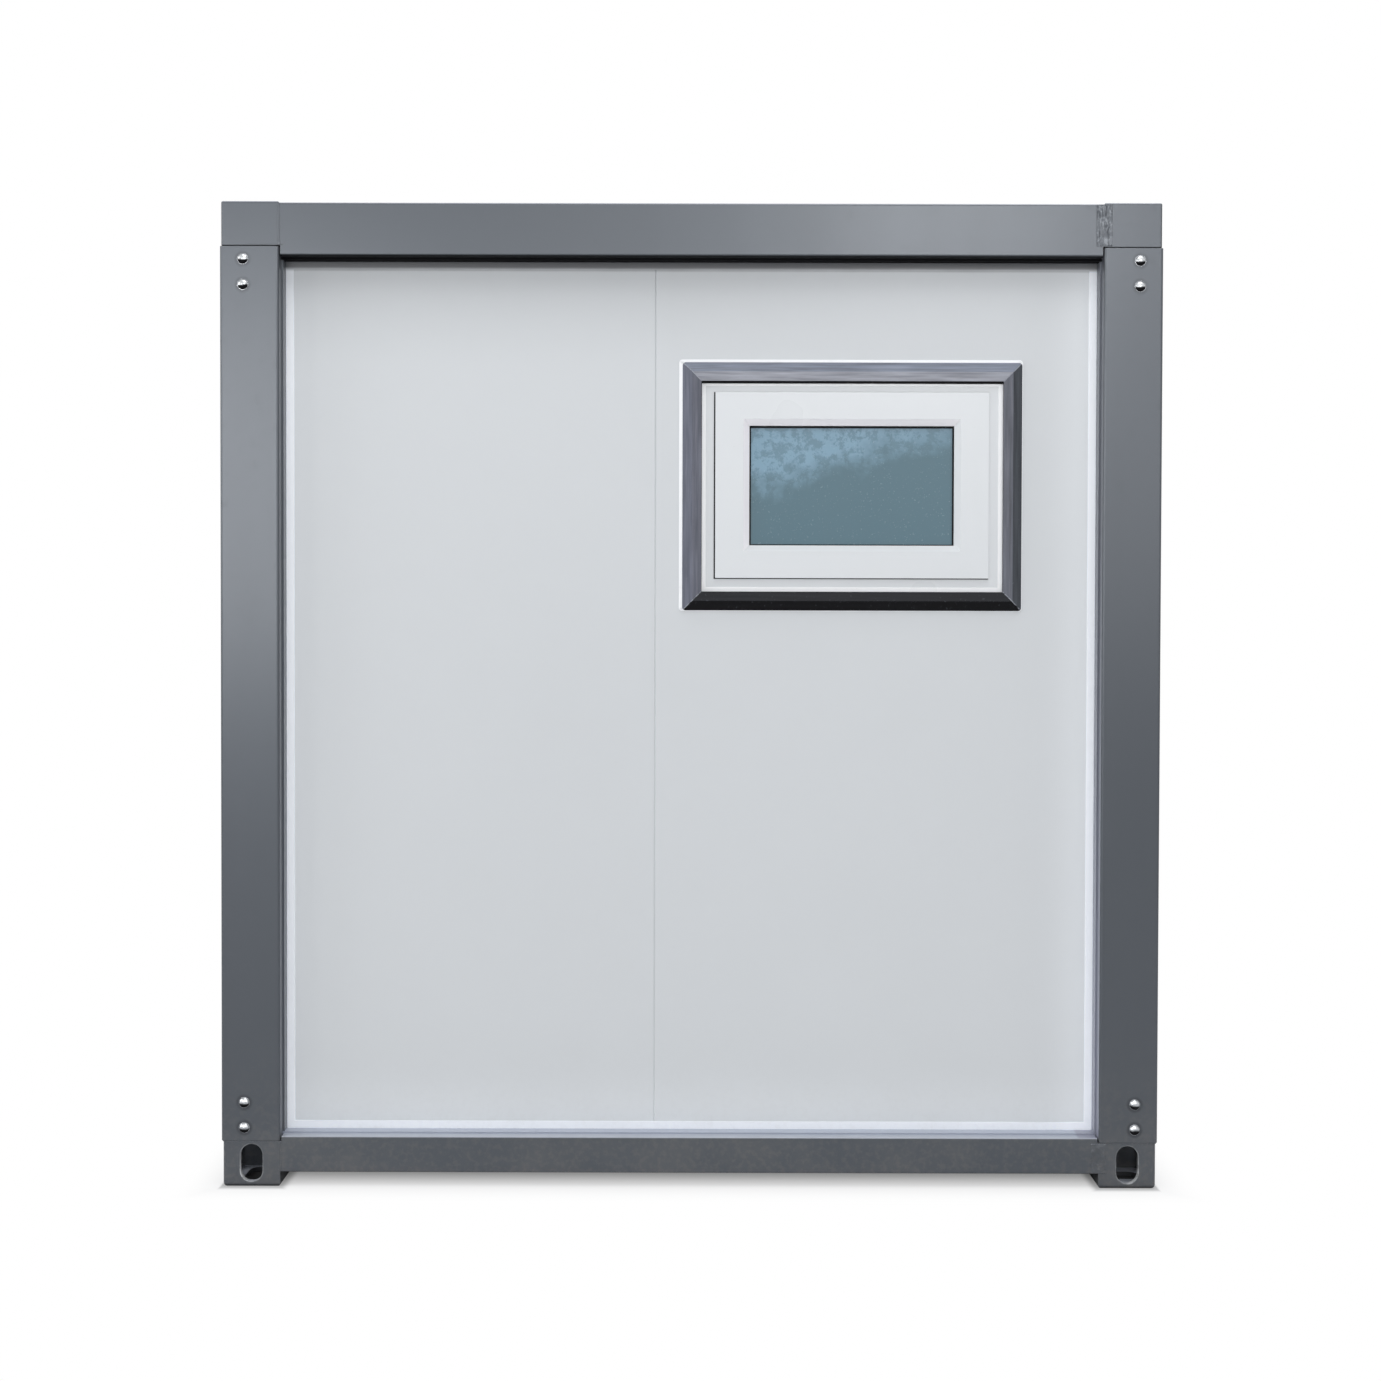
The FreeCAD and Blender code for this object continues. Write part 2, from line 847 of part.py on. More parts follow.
def make_window_bead():
    """The glazing bead that holds the glass from inside."""
    body = window_body("window_bead", S.sash_raise)
    bead_front = glass_front + S.glass_thick
    bead_depth = panel_front + S.sash_depth - bead_front

    def draw(sketch):
        draw_centred(sketch, glass_width, glass_height)
        draw_centred(sketch, aperture_width, aperture_height)

    pad(body, "XZ", bead_front, bead_depth, draw)


def make_window_trim():
    """Four mitred lengths round the window: a ridge, a gentle slope inwards and a steeper one outwards."""
    body = window_body("window_trim")
    wide = S.window_width / 2 - S.trim_lap
    high = S.window_height / 2 - S.trim_lap
    profile = new_sketch(body, "YZ")
    outline = [
        (panel_front, -high),
        (panel_front - S.trim_inner_height, -high),
        (panel_front - S.trim_height, -high - S.trim_ridge),
        (panel_front - S.trim_edge, -high - S.trim_width),
        (panel_front, -high - S.trim_width),
    ]
    draw_loop(profile, outline)
    path = [(-wide, -high), (wide, -high), (wide, high), (-wide, high)]
    sweep(body, "XZ", panel_front, path, profile, closed=True)

    def mitres(sketch):
        over = S.trim_edge
        reach = S.trim_width + over
        cut = S.mitre_gap / 2
        for x in (-1, 1):
            for y in (-1, 1):
                near = ((wide - over) * x, (high - over) * y)
                far = ((wide + reach) * x, (high + reach) * y)
                corners = [
                    (near[0] - cut, near[1]),
                    (near[0] + cut, near[1]),
                    (far[0] + cut, far[1]),
                    (far[0] - cut, far[1]),
                ]
                draw_loop(sketch, corners)

    pocket(body, "XZ", panel_front - S.trim_height, S.trim_height, mitres)

    def round_corners(sketch):
        outer_width, outer_height = (wide + S.trim_width) * 2, (high + S.trim_width) * 2
        draw_centred(sketch, outer_width + S.trim_edge, outer_height + S.trim_edge)
        draw_rounded(sketch, outer_width, outer_height, S.trim_round)

    pocket(body, "XZ", panel_front - S.trim_height, S.trim_height, round_corners)


# Door: every piece is drawn up from the middle of the doorway's foot

leaf_half = door_width / 2 - S.door_fit - S.door_member - S.door_gap
leaf_bottom = S.door_sill + S.door_gap
leaf_top = door_height - S.door_fit - S.door_member - S.door_gap
leaf_front = panel_front - S.door_flange_thick
leaf_back = leaf_front + S.leaf_thick
handle_side = leaf_half - S.handle_from_edge
handle_up = S.handle_above_ground - opening_bottom


def door_body(label):
    return new_body(label, side_place("back", door_middle(), opening_bottom), turn_of("back"))


def draw_surround(sketch, outer_half, outer_top, inner_half, inner_top):
    """The two sides and the head of a door frame."""
    outline = [
        (-outer_half, 0),
        (-inner_half, 0),
        (-inner_half, inner_top),
        (inner_half, inner_top),
        (inner_half, 0),
        (outer_half, 0),
        (outer_half, outer_top),
        (-outer_half, outer_top),
    ]
    draw_loop(sketch, outline)


def make_door_frame():
    """Jambs and head with a cover flange outside and a stop inside, over a raised sill."""
    body = door_body("door_frame")
    outer = door_width / 2 - S.door_fit
    inner = outer - S.door_member
    top = door_height - S.door_fit
    inner_top = top - S.door_member
    cover_top = door_height + S.door_flange
    back = panel_front + S.door_depth
    stop = S.door_stop
    pad(
        body,
        "XZ",
        leaf_front,
        S.door_flange_thick,
        lambda s: draw_surround(s, door_cover_half, cover_top, inner, inner_top),
    )
    pad(body, "XZ", panel_front, S.door_depth, lambda s: draw_surround(s, outer, top, inner, inner_top))
    pad(
        body,
        "XZ",
        leaf_back,
        back - leaf_back,
        lambda s: draw_surround(s, outer, top, inner - stop, inner_top - stop),
    )
    pad(body, "XZ", leaf_front, back - leaf_front, lambda s: draw_rectangle(s, (-inner, 0), (inner, S.door_sill)))
    sill_top = S.door_sill + stop
    pad(body, "XZ", leaf_back, back - leaf_back, lambda s: draw_rectangle(s, (-inner, 0), (inner, sill_top)))


def make_door_leaf():
    body = door_body("door_leaf")
    pad(
        body,
        "XZ",
        leaf_front,
        S.leaf_thick,
        lambda s: draw_rectangle(s, (-leaf_half, leaf_bottom), (leaf_half, leaf_top)),
    )
    names = []
    for face in (leaf_front, leaf_back):
        names += edges_along(body, "z", [(leaf_half, face), (-leaf_half, face)])
        names += edges_along(body, "x", [(face, leaf_top), (face, leaf_bottom)])
    fillet(body, names, S.leaf_round)
    bore = S.spindle + S.spindle_gap * 2
    pocket(body, "XZ", leaf_front, S.leaf_thick, lambda s: draw_circle(s, (handle_side, handle_up), bore))


def make_door_handle():
    """A lever on a long plate, inside and outside, on one spindle."""
    body = door_body("door_handle")
    half_plate = S.handle_plate_width / 2
    plate_low = (handle_side - half_plate, handle_up - S.handle_plate_height + S.handle_plate_width)
    plate_high = (handle_side + half_plate, handle_up + S.handle_plate_width)
    pad(
        body,
        "XZ",
        leaf_front - S.handle_plate_thick,
        S.leaf_thick + S.handle_plate_thick * 2,
        lambda s: draw_circle(s, (handle_side, handle_up), S.spindle),
    )
    for face, out in ((leaf_front, -1), (leaf_back, 1)):
        plate_at = face - S.handle_plate_thick if out < 0 else face
        pad(body, "XZ", plate_at, S.handle_plate_thick, lambda s: draw_rectangle(s, plate_low, plate_high))
        start = face + S.handle_plate_thick * out
        reach = face + S.lever_reach * out
        neck = new_sketch(body, "XZ", start)
        draw_circle(neck, (handle_side, handle_up), S.lever_bar)
        path = [
            (handle_side, start),
            (handle_side, reach),
            (handle_side - S.lever_length, reach),
            (handle_side - S.lever_length, reach - S.lever_return * out),
        ]
        sweep(body, "XY", handle_up, path, neck, corners="Round corner")


def make_door_hinges():
    """Three butt hinges with their knuckles outside, on the side away from the handle."""
    body = door_body("door_hinges")
    line = -leaf_half - S.door_gap / 2
    bottom = leaf_bottom + S.hinge_from_end
    radius = S.hinge_knuckle / 2
    plate_low = (line - S.hinge_leaf, leaf_front - S.hinge_thick)
    plate_high = (line + S.hinge_leaf, leaf_front)
    plates = pad(body, "XY", bottom, S.hinge_height, lambda s: draw_rectangle(s, plate_low, plate_high))
    knuckle = pad(
        body,
        "XY",
        bottom,
        S.hinge_height,
        lambda s: draw_circle(s, (line, leaf_front - radius), S.hinge_knuckle),
    )
    spacing = (leaf_top - leaf_bottom - S.hinge_from_end * 2 - S.hinge_height) / 2
    repeat(body, [plates, knuckle], "Z", spacing, 3)


# Floor, ceiling and roof, drawn round the middle of the plan

def draw_notched(sketch, edge, corner):
    """A plan that stays 'edge' inside the cabin's outline, with its corners cut back to 'corner'."""
    x, y = half_width - edge, half_depth - edge
    cut_x, cut_y = half_width - corner, half_depth - corner
    outline = [
        (-cut_x, -y),
        (cut_x, -y),
        (cut_x, -cut_y),
        (x, -cut_y),
        (x, cut_y),
        (cut_x, cut_y),
        (cut_x, y),
        (-cut_x, y),
        (-cut_x, cut_y),
        (-x, cut_y),
        (-x, -cut_y),
        (-cut_x, -cut_y),
    ]
    draw_loop(sketch, outline)


def draw_channel_section(sketch, corner, width, height, wall):
    """A C-shaped section open to one side, from its lower corner."""
    x, z = corner
    outline = [
        (x, z),
        (x + width, z),
        (x + width, z + wall),
        (x + wall, z + wall),
        (x + wall, z + height - wall),
        (x + width, z + height - wall),
        (x + width, z + height),
        (x, z + height),
    ]
    draw_loop(sketch, outline)


def make_floor_deck():
    body = new_body("floor_deck")
    corner = post_back + S.lining_corner_gap
    pad(
        body,
        "XY",
        opening_bottom,
        S.deck_thick,
        lambda s: draw_notched(s, channel_back + S.lining_gap, corner),
    )


def make_ceiling():
    body = new_body("ceiling_panel")
    edge = S.frame_depth - S.ceiling_bearing
    corner = post_back + S.lining_corner_gap
    pad(body, "XY", opening_top + S.beam_wall, S.ceiling_thick, lambda s: draw_notched(s, edge, corner))


def make_floor_joists():
    """Cold-formed joists between the front and the back rail."""
    body = new_body("floor_joists")
    spacing = (S.cabin_width - S.frame_depth * 2) / (S.joist_count + 1)
    first = spacing * (S.joist_count - 1) / -2 - S.joist_width / 2
    bottom = opening_bottom - S.joist_height
    joist = pad(
        body,
        "XZ",
        0,
        S.cabin_depth - S.frame_depth * 2,
        lambda s: draw_channel_section(s, (first, bottom), S.joist_width, S.joist_height, S.joist_wall),
        both_ways=True,
    )
    repeat(body, [joist], "X", spacing, S.joist_count)


def make_roof_purlins():
    """Cold-formed purlins between the left and the right roof beam, under the sheet."""
    body = new_body("roof_purlins")
    spacing = (S.cabin_depth - S.frame_depth * 2) / (S.purlin_count + 1)
    first = spacing * (S.purlin_count - 1) / -2 - S.purlin_width / 2
    bottom = roof_seat - S.purlin_height
    purlin = pad(
        body,
        "YZ",
        0,
        S.cabin_width - S.frame_depth * 2,
        lambda s: draw_channel_section(s, (first, bottom), S.purlin_width, S.purlin_height, S.purlin_wall),
        both_ways=True,
    )
    repeat(body, [purlin], "Y", spacing, S.purlin_count)


def make_roof_sheet():
    """A ribbed sheet that drips into the gutters; each rib opens downwards."""
    body = new_body("roof_sheet")
    edge = S.frame_depth - S.roof_overhang
    corner = S.post_face + S.roof_corner_gap
    thick = S.roof_thick
    pad(body, "XY", roof_seat, thick, lambda s: draw_notched(s, edge, corner))
    length = S.cabin_depth - edge * 2
    spacing = (S.cabin_width - edge * 2) / S.rib_count
    middle = spacing * (S.rib_count - 1) / -2
    foot, top = S.rib_base / 2, S.rib_top / 2
    slope = thick * 2
    under = [
        (middle - foot + slope, roof_seat),
        (middle + foot - slope, roof_seat),
        (middle + foot - slope, roof_seat + thick),
        (middle - foot + slope, roof_seat + thick),
    ]
    rib = [
        (middle - foot, roof_seat),
        (middle - foot, roof_seat + thick),
        (middle - top, roof_seat + S.rib_height),
        (middle + top, roof_seat + S.rib_height),
        (middle + foot, roof_seat + thick),
        (middle + foot, roof_seat),
        (middle + foot - slope, roof_seat),
        (middle + top - thick, roof_seat + S.rib_height - thick),
        (middle - top + thick, roof_seat + S.rib_height - thick),
        (middle - foot + slope, roof_seat),
    ]
    opening = pocket(body, "XZ", 0, length, lambda s: draw_loop(s, under), both_ways=True)
    hat = pad(body, "XZ", 0, length, lambda s: draw_loop(s, rib), both_ways=True)
    repeat(body, [opening, hat], "X", spacing, S.rib_count)


# All pieces

def build():
    for corner in CORNERS:
        make_post(corner)
        make_foot(corner)
        make_head(corner)
    for side in SIDES:
        make_rail(side)
        make_beam(side)
        make_channel(side)
        for hand in ("left", "right"):
            panel = make_panel(side, hand)
            if (side, hand) == ("front", "right"):
                cut_window_opening(panel)
            if (side, hand) == ("back", "right"):
                cut_door_opening(panel)
    make_window_frame()
    make_window_sash()
    make_window_glass()
    make_window_bead()
    make_window_trim()
    make_door_frame()
    make_door_leaf()
    make_door_handle()
    make_door_hinges()
    make_floor_deck()
    make_floor_joists()
    make_ceiling()
    make_roof_purlins()
    make_roof_sheet()


def check_and_export():
    doc.recompute()
    for thing in doc.Objects:
        if "Invalid" in thing.State or "Error" in thing.State:
            raise RuntimeError(f"{thing.Label} failed: {thing.State}")
    os.makedirs("parts", exist_ok=True)
    for piece in doc.Objects:
        if piece.TypeId != "PartDesign::Body":
            continue
        shape = piece.Shape
        if shape.isNull() or not shape.isValid() or not shape.Solids:
            raise RuntimeError(f"{piece.Label} has no valid shape")
        shape.exportStep(f"parts/{piece.Label}.step")


build()
check_and_export()
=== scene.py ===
"""Dresses the washroom cabin: paint, bolts, welds, window seals, door and roof fittings, and a studio."""

import math
import random

import bpy
from bpy.props import FloatProperty, FloatVectorProperty, IntProperty, PointerProperty
from mathutils import Matrix, Vector


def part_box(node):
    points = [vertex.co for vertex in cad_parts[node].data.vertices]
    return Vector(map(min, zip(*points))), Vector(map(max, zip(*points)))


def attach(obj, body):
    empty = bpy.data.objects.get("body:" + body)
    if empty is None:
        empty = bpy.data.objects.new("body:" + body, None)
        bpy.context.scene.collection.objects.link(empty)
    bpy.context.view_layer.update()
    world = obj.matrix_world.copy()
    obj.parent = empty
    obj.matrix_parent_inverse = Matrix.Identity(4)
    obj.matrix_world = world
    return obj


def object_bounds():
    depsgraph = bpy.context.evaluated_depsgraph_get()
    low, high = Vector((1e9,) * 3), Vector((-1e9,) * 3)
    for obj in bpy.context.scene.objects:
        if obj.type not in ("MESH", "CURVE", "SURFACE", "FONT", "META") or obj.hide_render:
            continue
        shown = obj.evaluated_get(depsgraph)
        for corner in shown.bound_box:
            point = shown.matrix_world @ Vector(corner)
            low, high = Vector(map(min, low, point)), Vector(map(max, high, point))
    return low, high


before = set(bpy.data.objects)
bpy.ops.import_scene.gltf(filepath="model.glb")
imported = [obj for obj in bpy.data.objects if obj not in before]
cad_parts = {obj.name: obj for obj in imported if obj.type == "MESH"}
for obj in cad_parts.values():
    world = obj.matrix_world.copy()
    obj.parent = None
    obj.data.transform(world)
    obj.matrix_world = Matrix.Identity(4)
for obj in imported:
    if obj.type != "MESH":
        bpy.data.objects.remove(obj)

CAD_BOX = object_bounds()

bl_info = {
    "name": "Portable washroom cabin",
    "version": (1, 0, 0),
    "blender": (4, 5, 0),
    "location": "View3D > Sidebar > Cabin",
    "description": "Finishes the cabin's steel frame, walls, window and door, and sets up the studio",
    "category": "Object",
}

MM = 0.001
CORNERS = ("front_left", "front_right", "back_right", "back_left")
SIDES = ("front", "right", "back", "left")
WHITE = (1.0, 1.0, 1.0, 1.0)
SENSOR_WIDTH = 36.0


# Colours

def screen_colour(red, green, blue):
    """A colour as a screen shows it, 0 to 255, turned into Blender's linear values."""
    def linear(value):
        value /= 255
        return value / 12.92 if value <= 0.04045 else ((value + 0.055) / 1.055) ** 2.4
    return (linear(red), linear(green), linear(blue), 1.0)


def colour_property(name, description, red, green, blue):
    return FloatVectorProperty(
        name=name,
        description=description,
        subtype="COLOR",
        size=4,
        min=0.0,
        max=1.0,
        default=screen_colour(red, green, blue),
    )


def length_property(name, description, millimetres):
    return FloatProperty(
        name=name,
        description=description,
        default=millimetres * MM,
        min=0.0,
        unit="LENGTH",
        precision=4,
    )


def angle_property(name, description, degrees):
    return FloatProperty(name=name, description=description, default=math.radians(degrees), subtype="ANGLE")


def number_property(name, description, number):
    return FloatProperty(name=name, description=description, default=number)


class CabinColours(bpy.types.PropertyGroup):
    """The colours of the cabin's finishes."""

    frame_paint: colour_property("Frame paint", "Slate grey of the posts, beams and rails", 61, 64, 68)
    trim_paint: colour_property("Window trim", "Grey of the folded trim round the window", 50, 52, 57)
    panel_skin: colour_property("Wall panel", "Off-white skin of the wall panels", 210, 213, 215)
    channel_skin: colour_property("Wall channel", "White of the channel round each wall", 238, 241, 245)
    window_white: colour_property("Window plastic", "White of the window frame and sash", 217, 220, 222)
    # A paler copy of the window plastic: a painted highlight on the rim.
    rim_highlight_white: colour_property("Window rim", "Clean white of the window frame's raised rim", 250, 251, 252)
    glass_tint: colour_property("Glass", "Blue-green of the obscured glass", 60, 98, 112)
    # Colour of the sky reflection painted on the glass.
    glass_light: colour_property("Glass, light part", "Paler blue at the top of the glass", 112, 149, 170)
    sealant: colour_property("Sealant", "White silicone round the trim", 243, 244, 246)
    # Black of the gaskets, and of the strips of painted shade at the window.
    rubber: colour_property("Rubber", "Black gaskets", 14, 15, 18)
    zinc: colour_property("Zinc", "Bright zinc of bolts and screws", 196, 199, 202)
    steel: colour_property("Stainless steel", "Door handle and hinges", 170, 172, 174)
    roof_skin: colour_property("Roof sheet", "Light grey of the ribbed roof sheet", 172, 176, 179)
    deck: colour_property("Floor board", "Brown-grey of the floor board", 132, 120, 104)


class CabinFittings(bpy.types.PropertyGroup):
    """The sizes of the small fittings."""

    bolt_diameter: length_property("Bolt head", "Width of a domed bolt head", 28)
    bolt_height: length_property("Bolt height", "How far a bolt head stands out", 9)
    bolt_inset: length_property("Bolt inset", "From the post's outer edge to the bolts", 60)
    bolt_from_foot: length_property("Bolt above foot", "From a post's lower end to its nearest bolt", 36.5)
    bolt_from_head: length_property("Bolt below head", "From a post's upper end to its nearest bolt", 36)
    bolt_spacing: length_property("Bolt spacing", "Between the two bolts at a post's end", 66)
    weld_width: length_property("Weld width", "Width of a ground weld", 14)
    weld_height: length_property("Weld height", "How far a ground weld stands out", 0.5)
    rough_weld_width: length_property("Rough weld width", "Width of the weld left unground", 40)
    rough_weld_height: length_property("Rough weld height", "How far the rough weld stands out", 1.4)
    sealant_width: length_property("Sealant width", "Width of the silicone at the trim's left", 9)
    sealant_height: length_property("Sealant height", "How far the silicone stands out", 4)
    trim_member: length_property("Trim member", "Width of the window trim's lengths", 49.5)
    gasket_width: length_property("Gasket width", "Width of a black gasket line", 3)
    roof_screw: length_property("Roof screw washer", "Width of a roof screw's washer", 19)
    roof_screw_rows: IntProperty(name="Screw rows", description="Rows of roof screws", default=5, min=2)


class StudioSettings(bpy.types.PropertyGroup):
    """Where the camera stands and how bright the lamps are."""

    camera_distance: length_property("Camera distance", "From the cabin's front to the camera", 4500)
    camera_height: length_property("Camera height", "Above the ground", 1498.9)
    camera_side: length_property("Camera side", "To the right of the cabin's middle", 2.4)
    camera_pitch: angle_property("Camera pitch", "Up from level", -0.996)
    camera_yaw: angle_property("Camera yaw", "Turn to the left", 0.033)
    camera_roll: angle_property("Camera roll", "Turn in its own view", 0.143)
    focal_pixels: number_property("Focal length", "In pixels of the picture", 1737.0)
    picture_pixels: number_property("Picture width", "In pixels", 1381.0)
    picture_rise: number_property("Picture rise", "Shift of the view in pixels", -47.47)
    softbox_level: number_property("Softbox", "Brightness of the front lamp", 1.6)
    key_level: number_property("Key", "Brightness of the lamp on the left", 3.0)
    sheen_level: number_property("Sheen", "Brightness of the lamps seen only in gloss", 5.0)
    overhead_level: number_property("Overhead", "Brightness of the lamps above and behind", 2.6)
    fill_level: number_property("Fill", "Brightness of the sky on the object", 0.5)


# Shader nodes

class Wire:
    """One output socket of a finish; arithmetic on it adds Math nodes."""

    def __init__(self, finish, socket):
        self.finish = finish
        self.socket = socket

    def math(self, operation, *values):
        return self.finish.node("Math", dict(enumerate(values)), operation=operation)

    def __abs__(self):
        return self.math("ABSOLUTE", self)

    def most(self, other):
        return self.math("MAXIMUM", self, other)

    def least(self, other):
        return self.math("MINIMUM", self, other)

    def between(self, low, high):
        """0 at 'low', 1 at 'high', smooth between them and held outside."""
        values = {"Value": self, "From Min": low, "From Max": high}
        return self.finish.node("MapRange", values, interpolation_type="SMOOTHSTEP")

    def fading(self, low, high):
        """1 at 'low', 0 at 'high', smooth between them and held outside."""
        return 1.0 - self.between(low, high)


ARITHMETIC = {"add": "ADD", "sub": "SUBTRACT", "mul": "MULTIPLY", "truediv": "DIVIDE", "pow": "POWER"}
for sign, operation in ARITHMETIC.items():
    setattr(Wire, f"__{sign}__", lambda self, other, name=operation: self.math(name, self, other))
    setattr(Wire, f"__r{sign}__", lambda self, other, name=operation: self.math(name, other, self))


class Finish:
    """A procedural material, put together node by node."""

    def __init__(self, name, data=None):
        self.data = data or bpy.data.materials.new(name)
        self.data.use_nodes = True
        self.tree = self.data.node_tree
        self.tree.nodes.clear()

    def node(self, kind, inputs=None, output=0, **settings):
        made = self.tree.nodes.new(f"ShaderNode{kind}")
        for key, value in settings.items():
            setattr(made, key, value)
        for key, value in (inputs or {}).items():
            if isinstance(value, Wire):
                self.tree.links.new(value.socket, made.inputs[key])
            else:
                made.inputs[key].default_value = value
        return Wire(self, made.outputs[output])

    def place(self):
        """Where a point of the surface is, in metres."""
        return self.node("TexCoord", output="Object")

    def part_of(self, vector, axis):
        return self.node("SeparateXYZ", {0: vector}, axis)

    def axis(self, name):
        return self.part_of(self.place(), name)

    def facing(self, axis):
        """How much the surface faces along an axis, -1 to 1."""
        return self.part_of(self.node("NewGeometry", output="Normal"), axis)

    def out(self):
        """How far out of the cabin's middle a point is, on whichever of X and Y it is farther."""
        return abs(self.axis("X")).most(abs(self.axis("Y")))

    def along(self):
        """How far from the middle of its own wall a point is."""
        return abs(self.axis("X")).least(abs(self.axis("Y")))

    def noise(self, scale, detail=2.0, roughness=0.5, stretch=None, distortion=0.0):
        where = self.place()
        if stretch:
            where = self.node("Mapping", {"Vector": where, "Scale": stretch})
        sockets = {"Vector": where, "Scale": scale, "Detail": detail, "Roughness": roughness}
        return self.node("TexNoise", sockets | {"Distortion": distortion})

    def cells(self, scale, output="Distance"):
        return self.node("TexVoronoi", {"Vector": self.place(), "Scale": scale}, output)

    def cell_tones(self, scale):
        """A tone of its own for each cell."""
        return self.node("SeparateColor", {0: self.cells(scale, "Color")})

    def mix(self, factor, first, second):
        return self.node("Mix", {0: factor, 6: first, 7: second}, output=2, data_type="RGBA")

    def tinted(self, mask, colour, red, green, blue):
        """The colour with another one laid over it by a mask."""
        return self.mix(mask, colour, screen_colour(red, green, blue))

    def shade(self, colour, amount):
        """The colour made lighter or darker by a factor that changes over the surface."""
        if not isinstance(colour, Wire):
            colour = colour[:3]
        return self.node("VectorMath", {0: colour, "Scale": amount}, operation="SCALE")

    def soft_edge(self, radius):
        """The surface normal with sharp edges rounded by a small radius."""
        return self.node("Bevel", {"Radius": radius}, samples=4)

    def edge_mask(self, radius):
        """1 on sharp edges and 0 on flat faces."""
        normals = {0: self.soft_edge(radius), 1: self.node("NewGeometry", output="Normal")}
        agreement = self.node("VectorMath", normals, output=1, operation="DOT_PRODUCT")
        return (1.0 - agreement).between(0.01, 0.25)

    def bump(self, height, distance, strength, edge_radius=None):
        sockets = {"Height": height, "Distance": distance, "Strength": strength}
        if edge_radius:
            sockets["Normal"] = self.soft_edge(edge_radius)
        return self.node("Bump", sockets)

    def principled(self, **sockets):
        """A Principled shader; the names of its sockets use _ for a space."""
        inputs = {name.replace("_", " "): value for name, value in sockets.items()}
        return self.node("BsdfPrincipled", inputs)

    def surface(self, **sockets):
        """Ends the finish in one Principled shader."""
        return self.ended(self.principled(**sockets))

    def surface_with_painted_shade(self, under_shade, **sockets):
        """Ends the finish in its shader with dull black painted shade mixed over it."""
        unshaded = self.principled(**sockets)
        shade_black = self.mix(self.noise(80.0, detail=4.0), screen_colour(10, 10, 12), screen_colour(22, 22, 25))
        dull = self.principled(Base_Color=shade_black, Roughness=0.9, Specular_IOR_Level=0.1)
        return self.ended(self.node("MixShader", {0: under_shade, 1: unshaded, 2: dull}))

    def ended(self, shader, kind="Material"):
        made = self.tree.nodes.new(f"ShaderNodeOutput{kind}")
        self.tree.links.new(shader.socket, made.inputs["Surface"])
        return self.data


def fittings():
    return bpy.context.scene.cabin_fittings


def studio():
    return bpy.context.scene.cabin_studio


# Places, read from the frame

def box_of(node):
    low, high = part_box(node)
    return Vector(low), Vector(high)


def front_of(node):
    return box_of(node)[0].y


def soffit_height():
    return box_of("roof_beam_front")[0].z


def rail_top():
    return box_of("base_rail_front")[1].z


# Weather, rubbed metal, and painted light and shade, by place

def dust_light_and_shade_by_facing(finish, colour, dust_and_sky_light, amount):
    """Pale dust with painted sky light on whatever faces up, and how much painted black shade lies on
    whatever faces down.
    """
    upward = finish.part_of(finish.soft_edge(1 * MM), "Z")
    patches = finish.noise(14.0, detail=4.0, roughness=0.6)
    # Painted sky light, with some pale dust, on what faces up.
    mask = upward.between(0.25, 0.95) * (0.7 + 0.3 * patches) * amount
    # Painted shade: what faces down is darkened as if in shadow.
    under_shade = (0.0 - upward).between(0.3, 0.85) * (0.85 + 0.15 * patches)
    return mask, under_shade, finish.mix(mask, colour, dust_and_sky_light)


def painted_soffit_shade(finish):
    """1 in the step under the roof beams, where black shade is painted."""
    soffit = soffit_height()
    height = finish.axis("Z")
    inside = CAD_BOX[1].x - 25 * MM
    # Painted shade: the band just under the beams' soffit.
    above = height.between(soffit - 3 * MM, soffit - 1 * MM)
    below = height.fading(soffit + 4.2 * MM, soffit + 5.2 * MM)
    return above * below * finish.out().fading(inside, inside + 2 * MM)


def painted_light_and_joint_shade(finish, colour):
    """Painted light with some pale dust in the step of the base rails, painted light on the posts' reveals,
    strongest on the right and low down, and a painted shadow line in the joint over the posts.
    """
    half = CAD_BOX[1].x
    rail = rail_top()
    post_top = box_of("corner_post_front_left")[1].z
    height = finish.axis("Z")
    out = finish.out()
    along = finish.along()
    # Painted light, with some pale dust, in the step of the base rails.
    step = height.between(rail - 7 * MM, rail - 5 * MM) * height.fading(rail, rail + 2 * MM)
    step = step * out.fading(half - 30 * MM, half - 28 * MM)
    colour = finish.tinted(step * 0.85, colour, 166, 172, 186)
    # Painted light on the posts' reveals: mostly on the right, brighter low down.
    reveal = out.fading(half - 6 * MM, half - 4 * MM) * along.between(half - 210 * MM, half - 200 * MM)
    reveal = reveal * (0.15 + 0.85 * finish.axis("X").between(0.0, 0.1))
    reveal = reveal * height.between(rail - 10 * MM, rail - 6 * MM)
    low_lift = 0.18 + 0.82 * height.fading(0.15, 1.9)
    colour = finish.tinted(reveal * low_lift * 0.9, colour, 140, 142, 156)
    # Painted shadow: a dark wavy line in the joint between the posts and the heads.
    wave = (finish.noise(8.0, detail=3.0) - 0.5) * 8 * MM
    line = abs(height + wave - post_top).fading(1.2 * MM, 3.0 * MM)
    line = line * along.between(half - 165 * MM, half - 160 * MM)
    return finish.tinted(line * 0.85, colour, 16, 17, 20)


